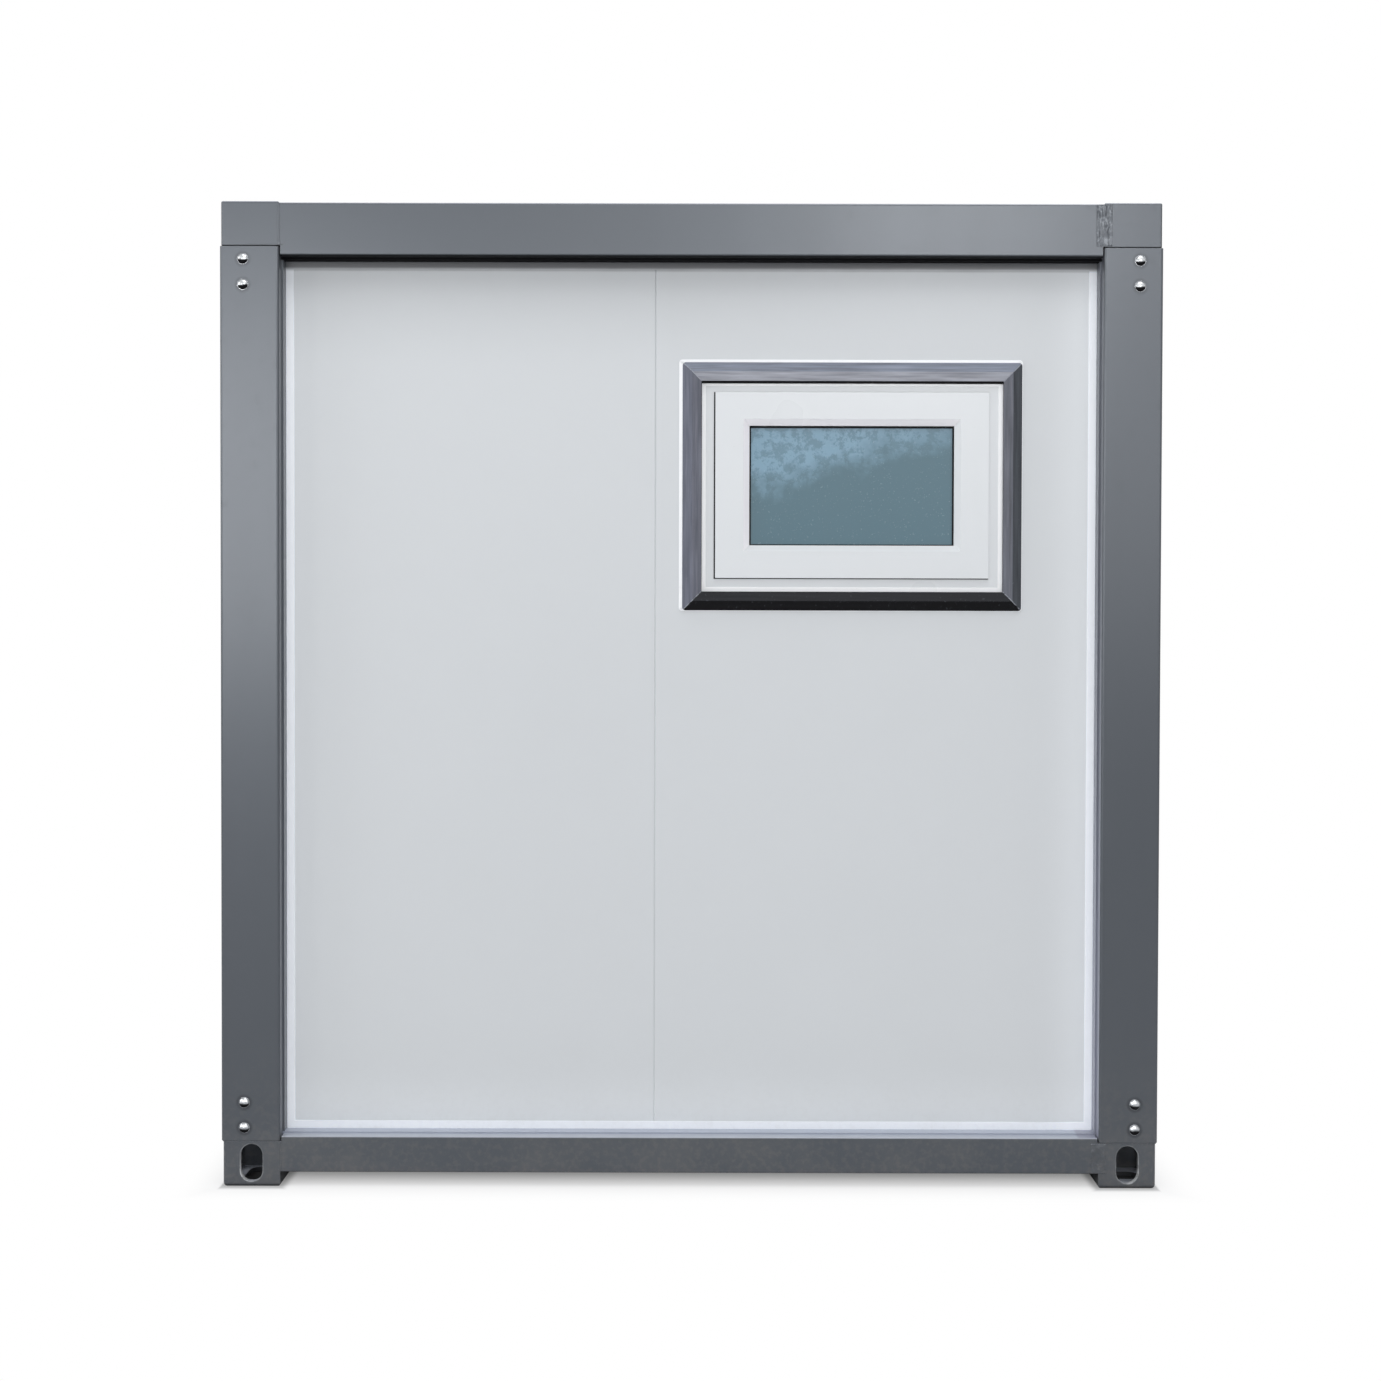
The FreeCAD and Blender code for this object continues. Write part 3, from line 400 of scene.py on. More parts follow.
def rubbed_slots(finish, colour):
    """Bare metal in and round the lower corner pieces' slots, where hooks have rubbed, mostly low down."""
    half = CAD_BOX[1].x
    height = finish.axis("Z")
    slot_radius, slot_height, slot_from_corner, slot_middle = 28.5 * MM, 98 * MM, 78 * MM, 63 * MM
    aside = finish.along() - (half - slot_from_corner)
    rise = (abs(height - slot_middle) - (slot_height / 2 - slot_radius)).most(0.0)
    beyond = (aside * aside + rise * rise) ** 0.5 - slot_radius
    rim = beyond.fading(1.0 * MM, 3.2 * MM)
    wall = finish.out().between(half - 20 * MM, half - 17 * MM)
    low = 0.25 + 0.75 * height.fading(30 * MM, 85 * MM)
    near_edge = 0.3 + 0.7 * aside.between(-6 * MM, 14 * MM)
    patches = 0.25 + 0.75 * finish.noise(55.0, detail=4.0, roughness=0.65).between(0.36, 0.54)
    return finish.tinted(rim * wall * low * near_edge * patches, colour, 196, 198, 198)


def bolt_shadow_rings(finish, colour):
    """Painted shadow: dark rings on the posts' faces, round their bolts."""
    sizes = fittings()
    low, high = box_of("corner_post_front_left")
    height = finish.axis("Z")
    across = finish.along() - (CAD_BOX[1].x - sizes.bolt_inset)
    half = sizes.bolt_spacing / 2
    lower = abs(abs(height - (low.z + sizes.bolt_from_foot + half)) - half)
    upper = abs(abs(height - (high.z - sizes.bolt_from_head - half)) - half)
    nearest = lower.least(upper)
    # Painted shadow round each bolt head.
    ring = (across * across + nearest * nearest).fading((16 * MM) ** 2, (24 * MM) ** 2)
    drift = finish.noise(60.0, detail=3.0).between(0.3, 0.6)
    return finish.tinted(ring * (0.4 + 0.4 * drift), colour, 20, 21, 24)


def painted_wall_shading(finish, colour):
    """Painted shade on a wall's top under the roof beam, darkest in a band just below it and wider towards
    the left, and painted light that lifts its foot and upright edges.
    """
    height = finish.axis("Z")
    soffit = soffit_height()
    edge = finish.along().between(CAD_BOX[1].x - 0.35, CAD_BOX[1].x - 0.15)
    drift = (finish.noise(6.0, detail=3.0) - 0.5) * 3 * MM
    foot = height.fading(0.16, 0.36)
    near = (height + drift).between(soffit - 27.5 * MM, soffit - 12 * MM)
    wide = height.between(soffit - 0.30, soffit - 0.03) * finish.axis("X").fading(-0.2, 0.7)
    # Painted light on the upright edges and the foot; painted shade over the top, most on the left.
    colour = finish.shade(colour, (1.0 + 0.24 * edge * edge + 0.12 * foot * foot) * (1.0 - 0.10 * wide))
    # Painted shadow: a dark band just under the roof beam.
    return finish.tinted(near * 0.86, colour, 26, 27, 31)


def dust(finish, colour, reach=0.55, strength=0.22):
    """Splashed dust that thins out with height above the ground."""
    low = finish.axis("Z").fading(0.0, reach)
    patches = finish.noise(5.5, detail=6.0, roughness=0.62).between(0.38, 0.72)
    fine = finish.noise(60.0, detail=3.0, roughness=0.6).between(0.45, 0.65)
    mask = low * low * (0.55 * patches + 0.45 * fine) * strength
    return mask, finish.tinted(mask, colour, 132, 124, 112)


# Finishes

def painted_steel(name, base, blotches=0.0):
    """Sprayed satin paint on rolled steel: faint orange peel, uneven gloss, rubbed edges, with painted light
    and shade laid on by place and by facing.
    """
    finish = Finish(name)
    edge = 3 * MM
    broad = finish.noise(1.4, detail=4.0, roughness=0.55)
    runs = finish.noise(7.0, detail=3.0, stretch=(1.0, 1.0, 0.12))
    scuffs = finish.noise(38.0, detail=5.0, roughness=0.7).between(0.56, 0.7)
    worn = finish.edge_mask(edge) * (0.25 + 0.75 * scuffs)
    colour = finish.shade(base, 0.94 + 0.08 * broad + 0.05 * runs)
    colour = finish.mix(worn * 0.5, colour, finish.shade(base, 1.55))
    splashed, colour = dust(finish, colour)
    # Pale dust and painted sky light on what faces up; painted shade on what faces down.
    lying, under_shade, colour = dust_light_and_shade_by_facing(finish, colour, screen_colour(192, 197, 208), 0.9)
    # Painted light, painted shadow and rubbed bare metal, each by place.
    for mark_by_place in (painted_light_and_joint_shade, bolt_shadow_rings, rubbed_slots):
        colour = mark_by_place(finish, colour)
    if blotches > 0:
        blotches = blotches * (0.3 + 0.7 * finish.axis("Z").between(0.5, 1.5))
        burnt = finish.noise(62.0, detail=4.0, roughness=0.7, distortion=0.6)
        colour = finish.tinted(burnt.between(0.50, 0.58) * blotches, colour, 20, 21, 24)
        colour = finish.tinted((1.0 - burnt).between(0.54, 0.62) * blotches, colour, 122, 125, 129)
    peel = finish.noise(420.0) * 0.25 + finish.noise(9.0) * 1.2
    # Painted black shade under things and in the step under the roof beams.
    return finish.surface_with_painted_shade(
        under_shade.most(painted_soffit_shade(finish)),
        Base_Color=colour,
        Roughness=0.33 + 0.10 * runs + 0.06 * scuffs + 0.25 * splashed + 0.1 * lying,
        Normal=finish.bump(peel, 0.4 * MM, 0.5, edge_radius=edge / 2),
        Specular_IOR_Level=0.7,
        Specular_Tint=(0.80, 0.88, 1.0, 1.0),
        Coat_Weight=0.4,
        Coat_Roughness=0.24,
    )


def coated_skin(name, base, gloss=0.48, grain=0.06 * MM, soil=0.10, edge=1 * MM, wall=False):
    """Coil-coated steel skin: almost smooth, with a fine emboss and slow waves of the foam behind it."""
    finish = Finish(name)
    broad = finish.noise(0.9, detail=3.0)
    cloud = finish.noise(4.0, detail=5.0, roughness=0.6)
    splashed, colour = dust(finish, finish.shade(base, 0.965 + 0.045 * broad + 0.02 * cloud), 0.5, soil)
    # Walls get painted light and shade: shade under the roof beam, light at the foot and upright edges.
    if wall:
        colour = painted_wall_shading(finish, colour)
    emboss = finish.noise(900.0, roughness=0.6) * 0.6 + finish.cells(260.0) * 0.4
    waves = finish.noise(3.2, detail=1.0) * 3.0
    return finish.surface(
        Base_Color=colour,
        Roughness=gloss + 0.08 * cloud + 0.2 * splashed,
        Specular_IOR_Level=0.3,
        Normal=finish.bump(emboss + waves, grain, 0.6, edge_radius=edge),
    )


def window_plastic(name, base):
    """White extruded plastic: half gloss, lines drawn along its length, with painted light that makes its
    faces turned right or down paler.
    """
    finish = Finish(name)
    broad = finish.noise(3.0, detail=3.0)
    colour = finish.shade(base, 0.97 + 0.04 * broad)
    specks = finish.noise(130.0, detail=3.0, roughness=0.7).between(0.66, 0.74)
    colour = finish.tinted(specks * 0.12, colour, 150, 150, 148)
    # Painted highlight on the faces turned right or down.
    slanting = finish.facing("X").most(0.0 - finish.facing("Z")).between(0.15, 0.45)
    colour = finish.tinted(slanting, colour, 248, 246, 249)
    drawn = finish.noise(30.0, stretch=(0.1, 1.0, 0.1)) * 0.5 + finish.noise(300.0, detail=1.0) * 0.2
    return finish.surface(
        Base_Color=colour,
        Roughness=0.24 + 0.10 * broad,
        Normal=finish.bump(drawn, 0.1 * MM, 0.5, edge_radius=2.2 * MM),
        Specular_IOR_Level=0.5,
    )


def trim_paint(name, base):
    """Painted trim with light and shade painted on by facing: each length's slopes and inner lip get a lit or
    shaded tone, palest on the top and left lengths, black below.
    """
    finish = Finish(name)
    low, high = box_of("window_trim")
    across, up = finish.axis("X"), finish.axis("Z")
    aside, upward = finish.facing("X"), finish.facing("Z")
    # For each length: how far a point is from its outer edge, what faces outwards, and the painted lit or
    # shaded colours of its outer slope, its inner slope and its inner lip.
    lengths = (
        (across - low.x, 0.0 - aside, (104, 107, 119), (103, 105, 115), (18, 18, 22)),
        (high.x - across, aside, (72, 75, 80), (98, 100, 108), (90, 92, 98)),
        (high.z - up, upward, (126, 132, 145), (158, 160, 168), (6, 6, 8)),
        (up - low.z, 0.0 - upward, (5, 5, 8), (32, 33, 37), (60, 62, 66)),
    )
    left, right, top, bottom = [length[0] for length in lengths]
    nearest = left.least(right).least(top).least(bottom)
    colour = base
    for distance, outwards, outer, inner, lip in lengths:
        here = (distance - nearest).fading(0.0, 0.8 * MM)
        tone = finish.mix(outwards.between(-0.1, 0.1), screen_colour(*inner), screen_colour(*outer))
        tone = finish.mix(outwards.between(-0.75, -0.85), tone, screen_colour(*lip))
        colour = finish.mix(here, colour, tone)
    lying = finish.noise(130.0, detail=3.0, roughness=0.6, stretch=(0.05, 1.0, 1.0))
    standing = finish.noise(130.0, detail=3.0, roughness=0.6, stretch=(1.0, 1.0, 0.05))
    upright = left.least(right) - top.least(bottom)
    streak = lying + (standing - lying) * upright.fading(-1 * MM, 1 * MM)
    colour = finish.shade(colour, 0.30 + 1.4 * streak)
    scratches_and_glint = finish.noise(150.0, detail=3.0, roughness=0.6).between(0.38, 0.52)
    # Painted highlight along the mitres, broken up like scratches.
    mitre_highlight = abs(upright).fading(0.6 * MM, 2.6 * MM)
    colour = finish.tinted(mitre_highlight * scratches_and_glint * 0.85, colour, 168, 172, 180)
    specks = finish.noise(120.0, detail=4.0, roughness=0.7).between(0.6, 0.72)
    rubbed = finish.edge_mask(1.6 * MM) * 0.28 + specks * 0.12
    return finish.surface(
        Base_Color=finish.tinted(rubbed, colour, 146, 150, 160),
        Roughness=0.42 + 0.2 * streak,
        Normal=finish.bump(streak + finish.noise(420.0) * 0.15, 0.3 * MM, 0.5, edge_radius=1.2 * MM),
        Specular_IOR_Level=0.15,
    )


def obscured_glass(name, tint, light):
    """Blue-green glass that nobody sees through, with a painted sky reflection towards the top left and
    painted shade along its top and sides, rippled on its face.
    """
    finish = Finish(name)
    low, high = box_of("window_glass")
    across = (finish.axis("X") - low.x) / (high.x - low.x)
    up = (finish.axis("Z") - low.z) / (high.z - low.z)
    drift = finish.noise(5.0, detail=4.0, roughness=0.6, distortion=0.4)
    # Painted sky reflection towards the top left.
    paler = (up * 1.1 - across * 0.55 + (drift - 0.5) * 0.9).between(0.38, 0.72)
    broken = 0.45 + 0.55 * finish.noise(34.0, detail=6.0, roughness=0.75).between(0.44, 0.54)
    colour = finish.mix(paler * broken, tint, light)
    grains = finish.noise(190.0, detail=3.0, roughness=0.6).between(0.62, 0.72)
    colour = finish.tinted(grains * 0.16, colour, 176, 200, 210)
    # Painted shade along the top and both sides of the glass.
    edges = (up.between(0.90, 1.0) + (1.0 - across).between(0.965, 1.0) + across.between(0.955, 0.985)) * 0.5
    colour = finish.tinted(edges.least(0.7), colour, 30, 52, 70)
    ripple = finish.noise(70.0) + finish.cells(150.0) * 0.4
    return finish.surface(
        Base_Color=colour,
        Roughness=0.16 + 0.10 * drift,
        Normal=finish.bump(ripple, 0.2 * MM, 0.5),
        Specular_IOR_Level=0.4,
        Coat_Weight=0.2,
        Coat_Roughness=0.08,
    )


def bright_metal(name, base, roughness=0.16, unshaded=-0.10):
    """Zinc plated or stainless steel with fine turning marks, dull patches, and a painted dark reflection on
    what faces down.
    """
    finish = Finish(name)
    patches = finish.noise(55.0, detail=4.0, roughness=0.6)
    marks = finish.noise(900.0, stretch=(1.0, 1.0, 0.08))
    downward = 0.0 - finish.facing("Z")
    # Painted dark reflection of the ground, laid on as black shade where the metal faces down more than
    # 'unshaded'.
    return finish.surface_with_painted_shade(
        (downward + (patches - 0.5) * 0.4).between(unshaded, unshaded + 0.3),
        Base_Color=finish.tinted(patches.between(0.45, 0.75) * 0.35, base, 140, 143, 146),
        Metallic=1.0,
        Roughness=roughness + 0.14 * patches + 0.05 * marks,
        Normal=finish.bump(marks, 0.04 * MM, 0.4, edge_radius=0.6 * MM),
    )


def zinc_sheet(name, base):
    """Hot-dip zinc with its crystal pattern."""
    finish = Finish(name)
    crystal = finish.cell_tones(70.0)
    stain = finish.noise(6.0, detail=5.0, roughness=0.6).between(0.4, 0.8)
    colour = finish.shade(base, 0.66 + 0.22 * crystal)
    return finish.surface(
        Base_Color=finish.tinted(stain * 0.3, colour, 150, 148, 142),
        Metallic=0.75,
        Roughness=0.38 + 0.16 * crystal + 0.12 * stain,
        Normal=finish.bump(crystal, 0.1 * MM, 0.3, edge_radius=1 * MM),
    )


def rubber(name, base):
    """Black gasket rubber with a dusty bloom; the same finish is laid on strips of painted shade."""
    finish = Finish(name)
    bloom = finish.noise(45.0, detail=5.0, roughness=0.65).between(0.45, 0.8)
    return finish.surface(
        Base_Color=finish.tinted(bloom * 0.25, base, 52, 53, 54),
        Roughness=0.62 + 0.2 * bloom,
        Normal=finish.bump(finish.noise(600.0), 0.08 * MM, 0.5),
        Specular_IOR_Level=0.12,
    )


def silicone(name, base):
    """White sealant smoothed by hand, with a little dust caught in it."""
    finish = Finish(name)
    caught = finish.noise(28.0, detail=6.0, roughness=0.7).between(0.55, 0.85)
    dragged = finish.noise(24.0, detail=3.0) + finish.noise(160.0) * 0.3
    return finish.surface(
        Base_Color=finish.tinted(caught * 0.25, base, 176, 174, 168),
        Roughness=0.34 + 0.2 * caught,
        Normal=finish.bump(dragged, 1.2 * MM, 0.5),
    )


def floor_board(name, base):
    """Sealed composite board with pressed chips."""
    finish = Finish(name)
    chips = finish.cell_tones(85.0)
    broad = finish.noise(2.0, detail=5.0, roughness=0.6)
    return finish.surface(
        Base_Color=finish.shade(base, 0.72 + 0.34 * chips + 0.2 * broad),
        Roughness=0.55 + 0.2 * broad,
        Normal=finish.bump(chips, 0.2 * MM, 0.4, edge_radius=1 * MM),
    )


def cabin_material(name, make, *colour_names, **options):
    """A finish made once and then shared. The frame brings plain materials of the same plain names."""
    name = f"finish_{name}"
    known = bpy.data.materials.get(name)
    shown = [tuple(getattr(bpy.context.scene.cabin_colours, colour)) for colour in colour_names]
    return known if known else make(name, *shown, **options)


def dress(starts, name, make, *colour_names, **options):
    """Gives a finish to every CAD node whose name starts with one of the words."""
    material = cabin_material(name, make, *colour_names, **options)
    for node_name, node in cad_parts.items():
        if node_name.startswith(starts):
            node.data.materials.clear()
            node.data.materials.append(material)


def black_rubber():
    return cabin_material("black_rubber", rubber, "rubber")


def zinc_plate():
    return cabin_material("zinc_plate", bright_metal, "zinc")


# Modelling

def deselect():
    if bpy.context.object and bpy.context.object.mode != "OBJECT":
        object_mode()
    bpy.ops.object.select_all(action="DESELECT")


def activate(piece):
    deselect()
    piece.select_set(True)
    bpy.context.view_layer.objects.active = piece


def edit_mode():
    bpy.ops.object.mode_set(mode="EDIT")


def object_mode():
    bpy.ops.object.mode_set(mode="OBJECT")


def primitive(kind, name, **options):
    """Adds one of Blender's basic meshes and opens it in edit mode, all of it selected."""
    deselect()
    getattr(bpy.ops.mesh, f"primitive_{kind}_add")(**options)
    piece = bpy.context.object
    piece.name = name
    bpy.ops.object.transform_apply(location=False, rotation=True, scale=False)
    edit_mode()
    select_all()
    return piece


def select_all():
    bpy.ops.mesh.select_all(action="SELECT")


def select_top(piece, half_width=math.inf):
    """In edit mode, selects just the faces that face up, no farther from the middle than half_width."""
    object_mode()
    for face in piece.data.polygons:
        face.select = face.normal.z > 0.9 and abs(face.center.x) < half_width
    for part in (*piece.data.edges, *piece.data.vertices):
        part.select = False
    edit_mode()
    bpy.ops.mesh.select_mode(type="FACE")


def move(x=0.0, y=0.0, z=0.0):
    bpy.ops.transform.translate(value=(x, y, z))


def stretch(x, y, z=1.0):
    bpy.ops.transform.resize(value=(x, y, z))


def extrude(x=0.0, z=0.0):
    bpy.ops.mesh.extrude_region_move(TRANSFORM_OT_translate={"value": (x, 0, z)})


def face_outwards():
    select_all()
    bpy.ops.mesh.normals_make_consistent(inside=False)


def inset(thickness):
    bpy.ops.mesh.inset(thickness=thickness, depth=0.0)


def settle(piece, matrix):
    """Puts a piece in its place, and the place into its mesh."""
    activate(piece)
    piece.matrix_world = matrix
    bpy.ops.object.transform_apply(location=True, rotation=True, scale=True)
    return piece


def place_copies(template, matrices, name):
    """A copy of the template at each place, joined into one piece; the template goes."""
    copies = []
    for matrix in matrices:
        activate(template)
        bpy.ops.object.duplicate(linked=False)
        copies.append(settle(bpy.context.object, matrix))
    activate(template)
    bpy.ops.object.delete()
    return join_pieces(copies, name)


def join_pieces(pieces, name):
    activate(pieces[0])
    for piece in pieces:
        piece.select_set(True)
    if len(pieces) > 1:
        bpy.ops.object.join()
    piece = bpy.context.object
    piece.name = name
    piece.data.name = name
    return piece


def finished(piece, material, angle=35.0):
    """Smooths a piece, gives it its finish and lets it ride on the cabin."""
    activate(piece)
    piece.data.materials.clear()
    piece.data.materials.append(material)
    bpy.ops.object.shade_smooth_by_angle(angle=math.radians(angle))
    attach(piece, "root")


def domed_head(diameter, height, segments=28, rings=6):
    """A round bolt head: a short rim, then inset rings raised into a dome."""
    radius = diameter / 2
    rim = height * 0.14
    steepest = 86
    piece = primitive("cylinder", "head_template", vertices=segments, radius=radius, depth=rim)
    select_top(piece)
    inset(radius * 0.05)
    reach, dome = radius * 0.95, height - rim
    before_radius, before_height = reach, 0.0
    for ring in range(rings):
        angle = math.radians(steepest * (ring + 1) / rings)
        after_radius, after_height = reach * math.cos(angle), dome * math.sin(angle)
        inset(before_radius - after_radius)
        move(z=after_height - before_height)
        before_radius, before_height = after_radius, after_height
    object_mode()
    return piece


def hex_screw(washer, height):
    """A hexagon screw on a domed washer."""
    thick, tall = height * 0.2, height * 0.7
    middle = (0, 0, thick / 2)
    disc = primitive("cylinder", "washer", vertices=18, radius=washer / 2, depth=thick, location=middle)
    select_top(disc)
    inset(washer * 0.2)
    move(z=height * 0.15)
    object_mode()
    middle = (0, 0, height * 0.65)
    head = primitive("cylinder", "hexagon", vertices=6, radius=washer * 0.26, depth=tall, location=middle)
    select_top(head)
    bpy.ops.mesh.bevel(offset=height * 0.1, segments=2)
    object_mode()
    return join_pieces([disc, head], "screw_template")


def flat_ring(name, width, height, member, thick, corner=0.0, round_over=0.0):
    """A flat rectangular ring with its back on the plane, 'thick' high, with rounded corners and edges."""
    piece = primitive("plane", name, size=1.0)
    stretch(width, height)
    if corner:
        bpy.ops.mesh.bevel(offset=corner, segments=5, affect="VERTICES")
        select_all()
    inset(member)
    bpy.ops.mesh.delete(type="FACE")
    select_all()
    extrude(z=thick)
    face_outwards()
    object_mode()
    if round_over:
        modifier = piece.modifiers.new("round", "BEVEL")
        modifier.width = round_over
        modifier.segments = 3
        modifier.limit_method = "ANGLE"
        modifier.angle_limit = math.radians(50)
        bpy.ops.object.modifier_apply(modifier=modifier.name)
    return piece


def sloped_ring(name, width, height, member, thick, fall):
    """A flat ring whose inner edge lies lower than its outer edge."""
    piece = flat_ring(name, width, height, member, thick)
    inner_x, inner_y = width / 2 - member * 0.9, height / 2 - member * 0.9
    for vertex in piece.data.vertices:
        x, y, z = vertex.co
        vertex.select = abs(x) < inner_x and abs(y) < inner_y and z > thick / 2
    edit_mode()
    bpy.ops.mesh.select_mode(type="VERT")
    move(z=-fall)
    object_mode()
    return piece


def rough_patch(width, length, height, unevenness):
    """A weld left unground: a low slab with its top thrown up at random, then smoothed a little."""
    piece = primitive("cube", "weld", size=1.0)
    stretch(width, length, height * 2)
    bpy.ops.mesh.subdivide(number_cuts=18)
    select_top(piece, half_width=width * 0.44)
    bpy.ops.transform.vertex_random(offset=unevenness, normal=1.0, seed=7)
    bpy.ops.mesh.vertices_smooth(factor=0.35)
    object_mode()
    return piece


def weld_bead(length, width, height, seed):
    """A weld drawn ring by ring along X, each ripple a little fuller or thinner than the last."""
    pitch, unevenness = 5 * MM, 0.1
    first_ripple, last_ripple, end_ripple = 2.1, 0.8, 0.5
    chance = random.Random(seed)
    across = (0, math.radians(90), 0)
    piece = primitive("circle", "weld", vertices=12, radius=0.5, fill_type="NGON", rotation=across)
    stretch(1.0, width * 0.4, height * 1.2)
    count = max(4, int(length / pitch))
    size = 1.0
    for i in range(count):
        ripple = 1.0 + unevenness * (0.5 if i % 2 else -0.5) + chance.uniform(-unevenness, unevenness) * 0.6
        if i == 0:
            ripple = first_ripple
        if i == count - 1:
            ripple = last_ripple
        extrude(x=length / count)
        factor = ripple / size if i != count - 1 else end_ripple
        stretch(1.0, factor, factor)
        size = ripple
        move(y=chance.uniform(-1, 1) * width * unevenness * 0.12)
    face_outwards()
    move(x=-length / 2)
    object_mode()
    return piece


def post_face_places(corner):
    """For both outer faces of a post: the side it faces, and where a point of it is by inset and height."""
    x_side, y_side = ("left" if "left" in corner else "right"), ("front" if "front" in corner else "back")
    x_sign, y_sign = (-1 if x_side == "left" else 1), (-1 if y_side == "front" else 1)
    low, high = box_of(f"corner_post_{corner}")
    edge_x = low.x if x_sign < 0 else high.x
    edge_y = low.y if y_sign < 0 else high.y
    return [
        (y_side, lambda inset, up: Vector((edge_x - x_sign * inset, edge_y, up))),
        (x_side, lambda inset, up: Vector((edge_x, edge_y - y_sign * inset, up))),
    ]


def on_side(side, where, sink=0.0, roll=0.0):
    """A piece drawn flat, with its top up, goes to a place on one side, sunk in a little."""
    quarter = math.radians(90)
    turn = Matrix.Rotation(quarter * SIDES.index(side), 4, "Z") @ Matrix.Rotation(quarter, 4, "X")
    inwards = turn.to_3x3() @ Vector((0, 0, -1))
    return Matrix.Translation(where + inwards * sink) @ turn @ Matrix.Rotation(roll, 4, "Z")


# Operators

class CabinStep:
    """What all steps share: each does its work and says that it is finished."""

    def execute(self, context):
        self.work()
        return {"FINISHED"}


class CABIN_OT_finish_frame(CabinStep, bpy.types.Operator):
    """Paints the steel frame and gives the joists and purlins their zinc"""

    bl_idname = "cabin.finish_frame"
    bl_label = "Finish the frame"

    def work(self):
        dress(("corner_", "roof_beam_", "base_rail_"), "frame_paint", painted_steel, "frame_paint")
        dress(("floor_joists", "roof_purlins"), "zinc_sheet", zinc_sheet, "zinc")


class CABIN_OT_finish_walls(CabinStep, bpy.types.Operator):
    """Coats the wall panels, the channels, the ceiling, the floor and the roof sheet"""

    bl_idname = "cabin.finish_walls"
    bl_label = "Finish the walls"

    def work(self):
        # wall=True lays painted light and shade on the panels and channels.
        channel = {"gloss": 0.36, "soil": 0.16, "wall": True}
        roof = {"gloss": 0.42, "grain": 0.1 * MM}
        dress("wall_panel_", "panel_skin", coated_skin, "panel_skin", wall=True)
        dress("ceiling_panel", "ceiling_skin", coated_skin, "panel_skin")
        dress("wall_channel_", "channel_skin", coated_skin, "channel_skin", **channel)
        dress("roof_sheet", "roof_skin", coated_skin, "roof_skin", **roof)
        dress("floor_deck", "floor_board", floor_board, "deck")


class CABIN_OT_finish_window(CabinStep, bpy.types.Operator):
    """Gives the window its plastic, its glass and its painted trim"""

    bl_idname = "cabin.finish_window"
    bl_label = "Finish the window"

    def work(self):
        plastic = ("window_frame", "window_sash", "window_bead")
        dress(plastic, "window_plastic", window_plastic, "window_white")
        dress("window_glass", "window_glass", obscured_glass, "glass_tint", "glass_light")
        dress("window_trim", "trim_paint", trim_paint, "trim_paint")


class CABIN_OT_finish_door(CabinStep, bpy.types.Operator):
    """Coats the door and its frame, and gives the handle and hinges their steel"""

    bl_idname = "cabin.finish_door"
    bl_label = "Finish the door"

    def work(self):
        leaf = {"gloss": 0.40, "edge": 2 * MM}
        surround = {"gloss": 0.36, "edge": 1.5 * MM}
        steel = {"roughness": 0.26, "unshaded": 0.3}
        dress("door_leaf", "door_skin", coated_skin, "panel_skin", **leaf)
        dress("door_frame", "door_frame_skin", coated_skin, "channel_skin", **surround)
        dress(("door_handle", "door_hinges"), "stainless_steel", bright_metal, "steel", **steel)


class CABIN_OT_add_post_bolts(CabinStep, bpy.types.Operator):
    """Puts two domed bolts at each end of both outer faces of the posts"""

    bl_idname = "cabin.add_post_bolts"
    bl_label = "Add post bolts"

    def work(self):
        sizes = fittings()
        for corner in CORNERS:
            low, high = box_of(f"corner_post_{corner}")
            lowest, highest = low.z + sizes.bolt_from_foot, high.z - sizes.bolt_from_head
            heights = (lowest, lowest + sizes.bolt_spacing, highest, highest - sizes.bolt_spacing)
            places = [
                on_side(side, place(sizes.bolt_inset, up))
                for side, place in post_face_places(corner)
                for up in heights
            ]
            head = domed_head(sizes.bolt_diameter, sizes.bolt_height)
            piece = place_copies(head, places, f"post_bolts_{corner}")
            finished(piece, zinc_plate(), angle=50.0)


class CABIN_OT_add_welds(CabinStep, bpy.types.Operator):
    """Welds the beams and rails to the corner pieces; one joint in front is left rough"""

    bl_idname = "cabin.add_welds"
    bl_label = "Add welds"

    def work(self):
        sizes = fittings()
        beam_low, beam_high = box_of("roof_beam_front")
        foot_top = box_of("corner_foot_front_left")[1].z
        head_low = box_of("corner_head_front_left")[0]
        post_low = box_of("corner_post_front_left")[0]
        # The height of each joint, and how much of the full roughness an unground weld has there.
        joints = ((head_low.z, beam_high.z, 1.0), (box_of("base_rail_front")[0].z, foot_top, 0.45))
        sink = head_low.y - post_low.y
        inset = beam_low.x - post_low.x
        upright = math.radians(90)
        rough_welds = []
        for number, corner in enumerate(CORNERS):
            beads = []
            for low, high, roughness in joints:
                length = (high - low) * 0.96
                for side, place in post_face_places(corner):
                    spot = place(inset, (low + high) / 2)
                    if (corner, side) == ("front_right", "front"):
                        raised = sizes.rough_weld_height * roughness
                        patch = rough_patch(sizes.rough_weld_width, length, raised, raised * 1.6)
                        rough_welds.append(settle(patch, on_side(side, spot, sink)))
                    else:
                        bead = weld_bead(length, sizes.weld_width, sizes.weld_height, number)
                        beads.append(settle(bead, on_side(side, spot, sink, upright)))
            paint = cabin_material("frame_paint", painted_steel, "frame_paint")
            finished(join_pieces(beads, f"welds_{corner}"), paint, angle=70.0)
        blotched = cabin_material("weld_paint", painted_steel, "frame_paint", blotches=0.75)
        finished(join_pieces(rough_welds, "rough_welds"), blotched, angle=70.0)


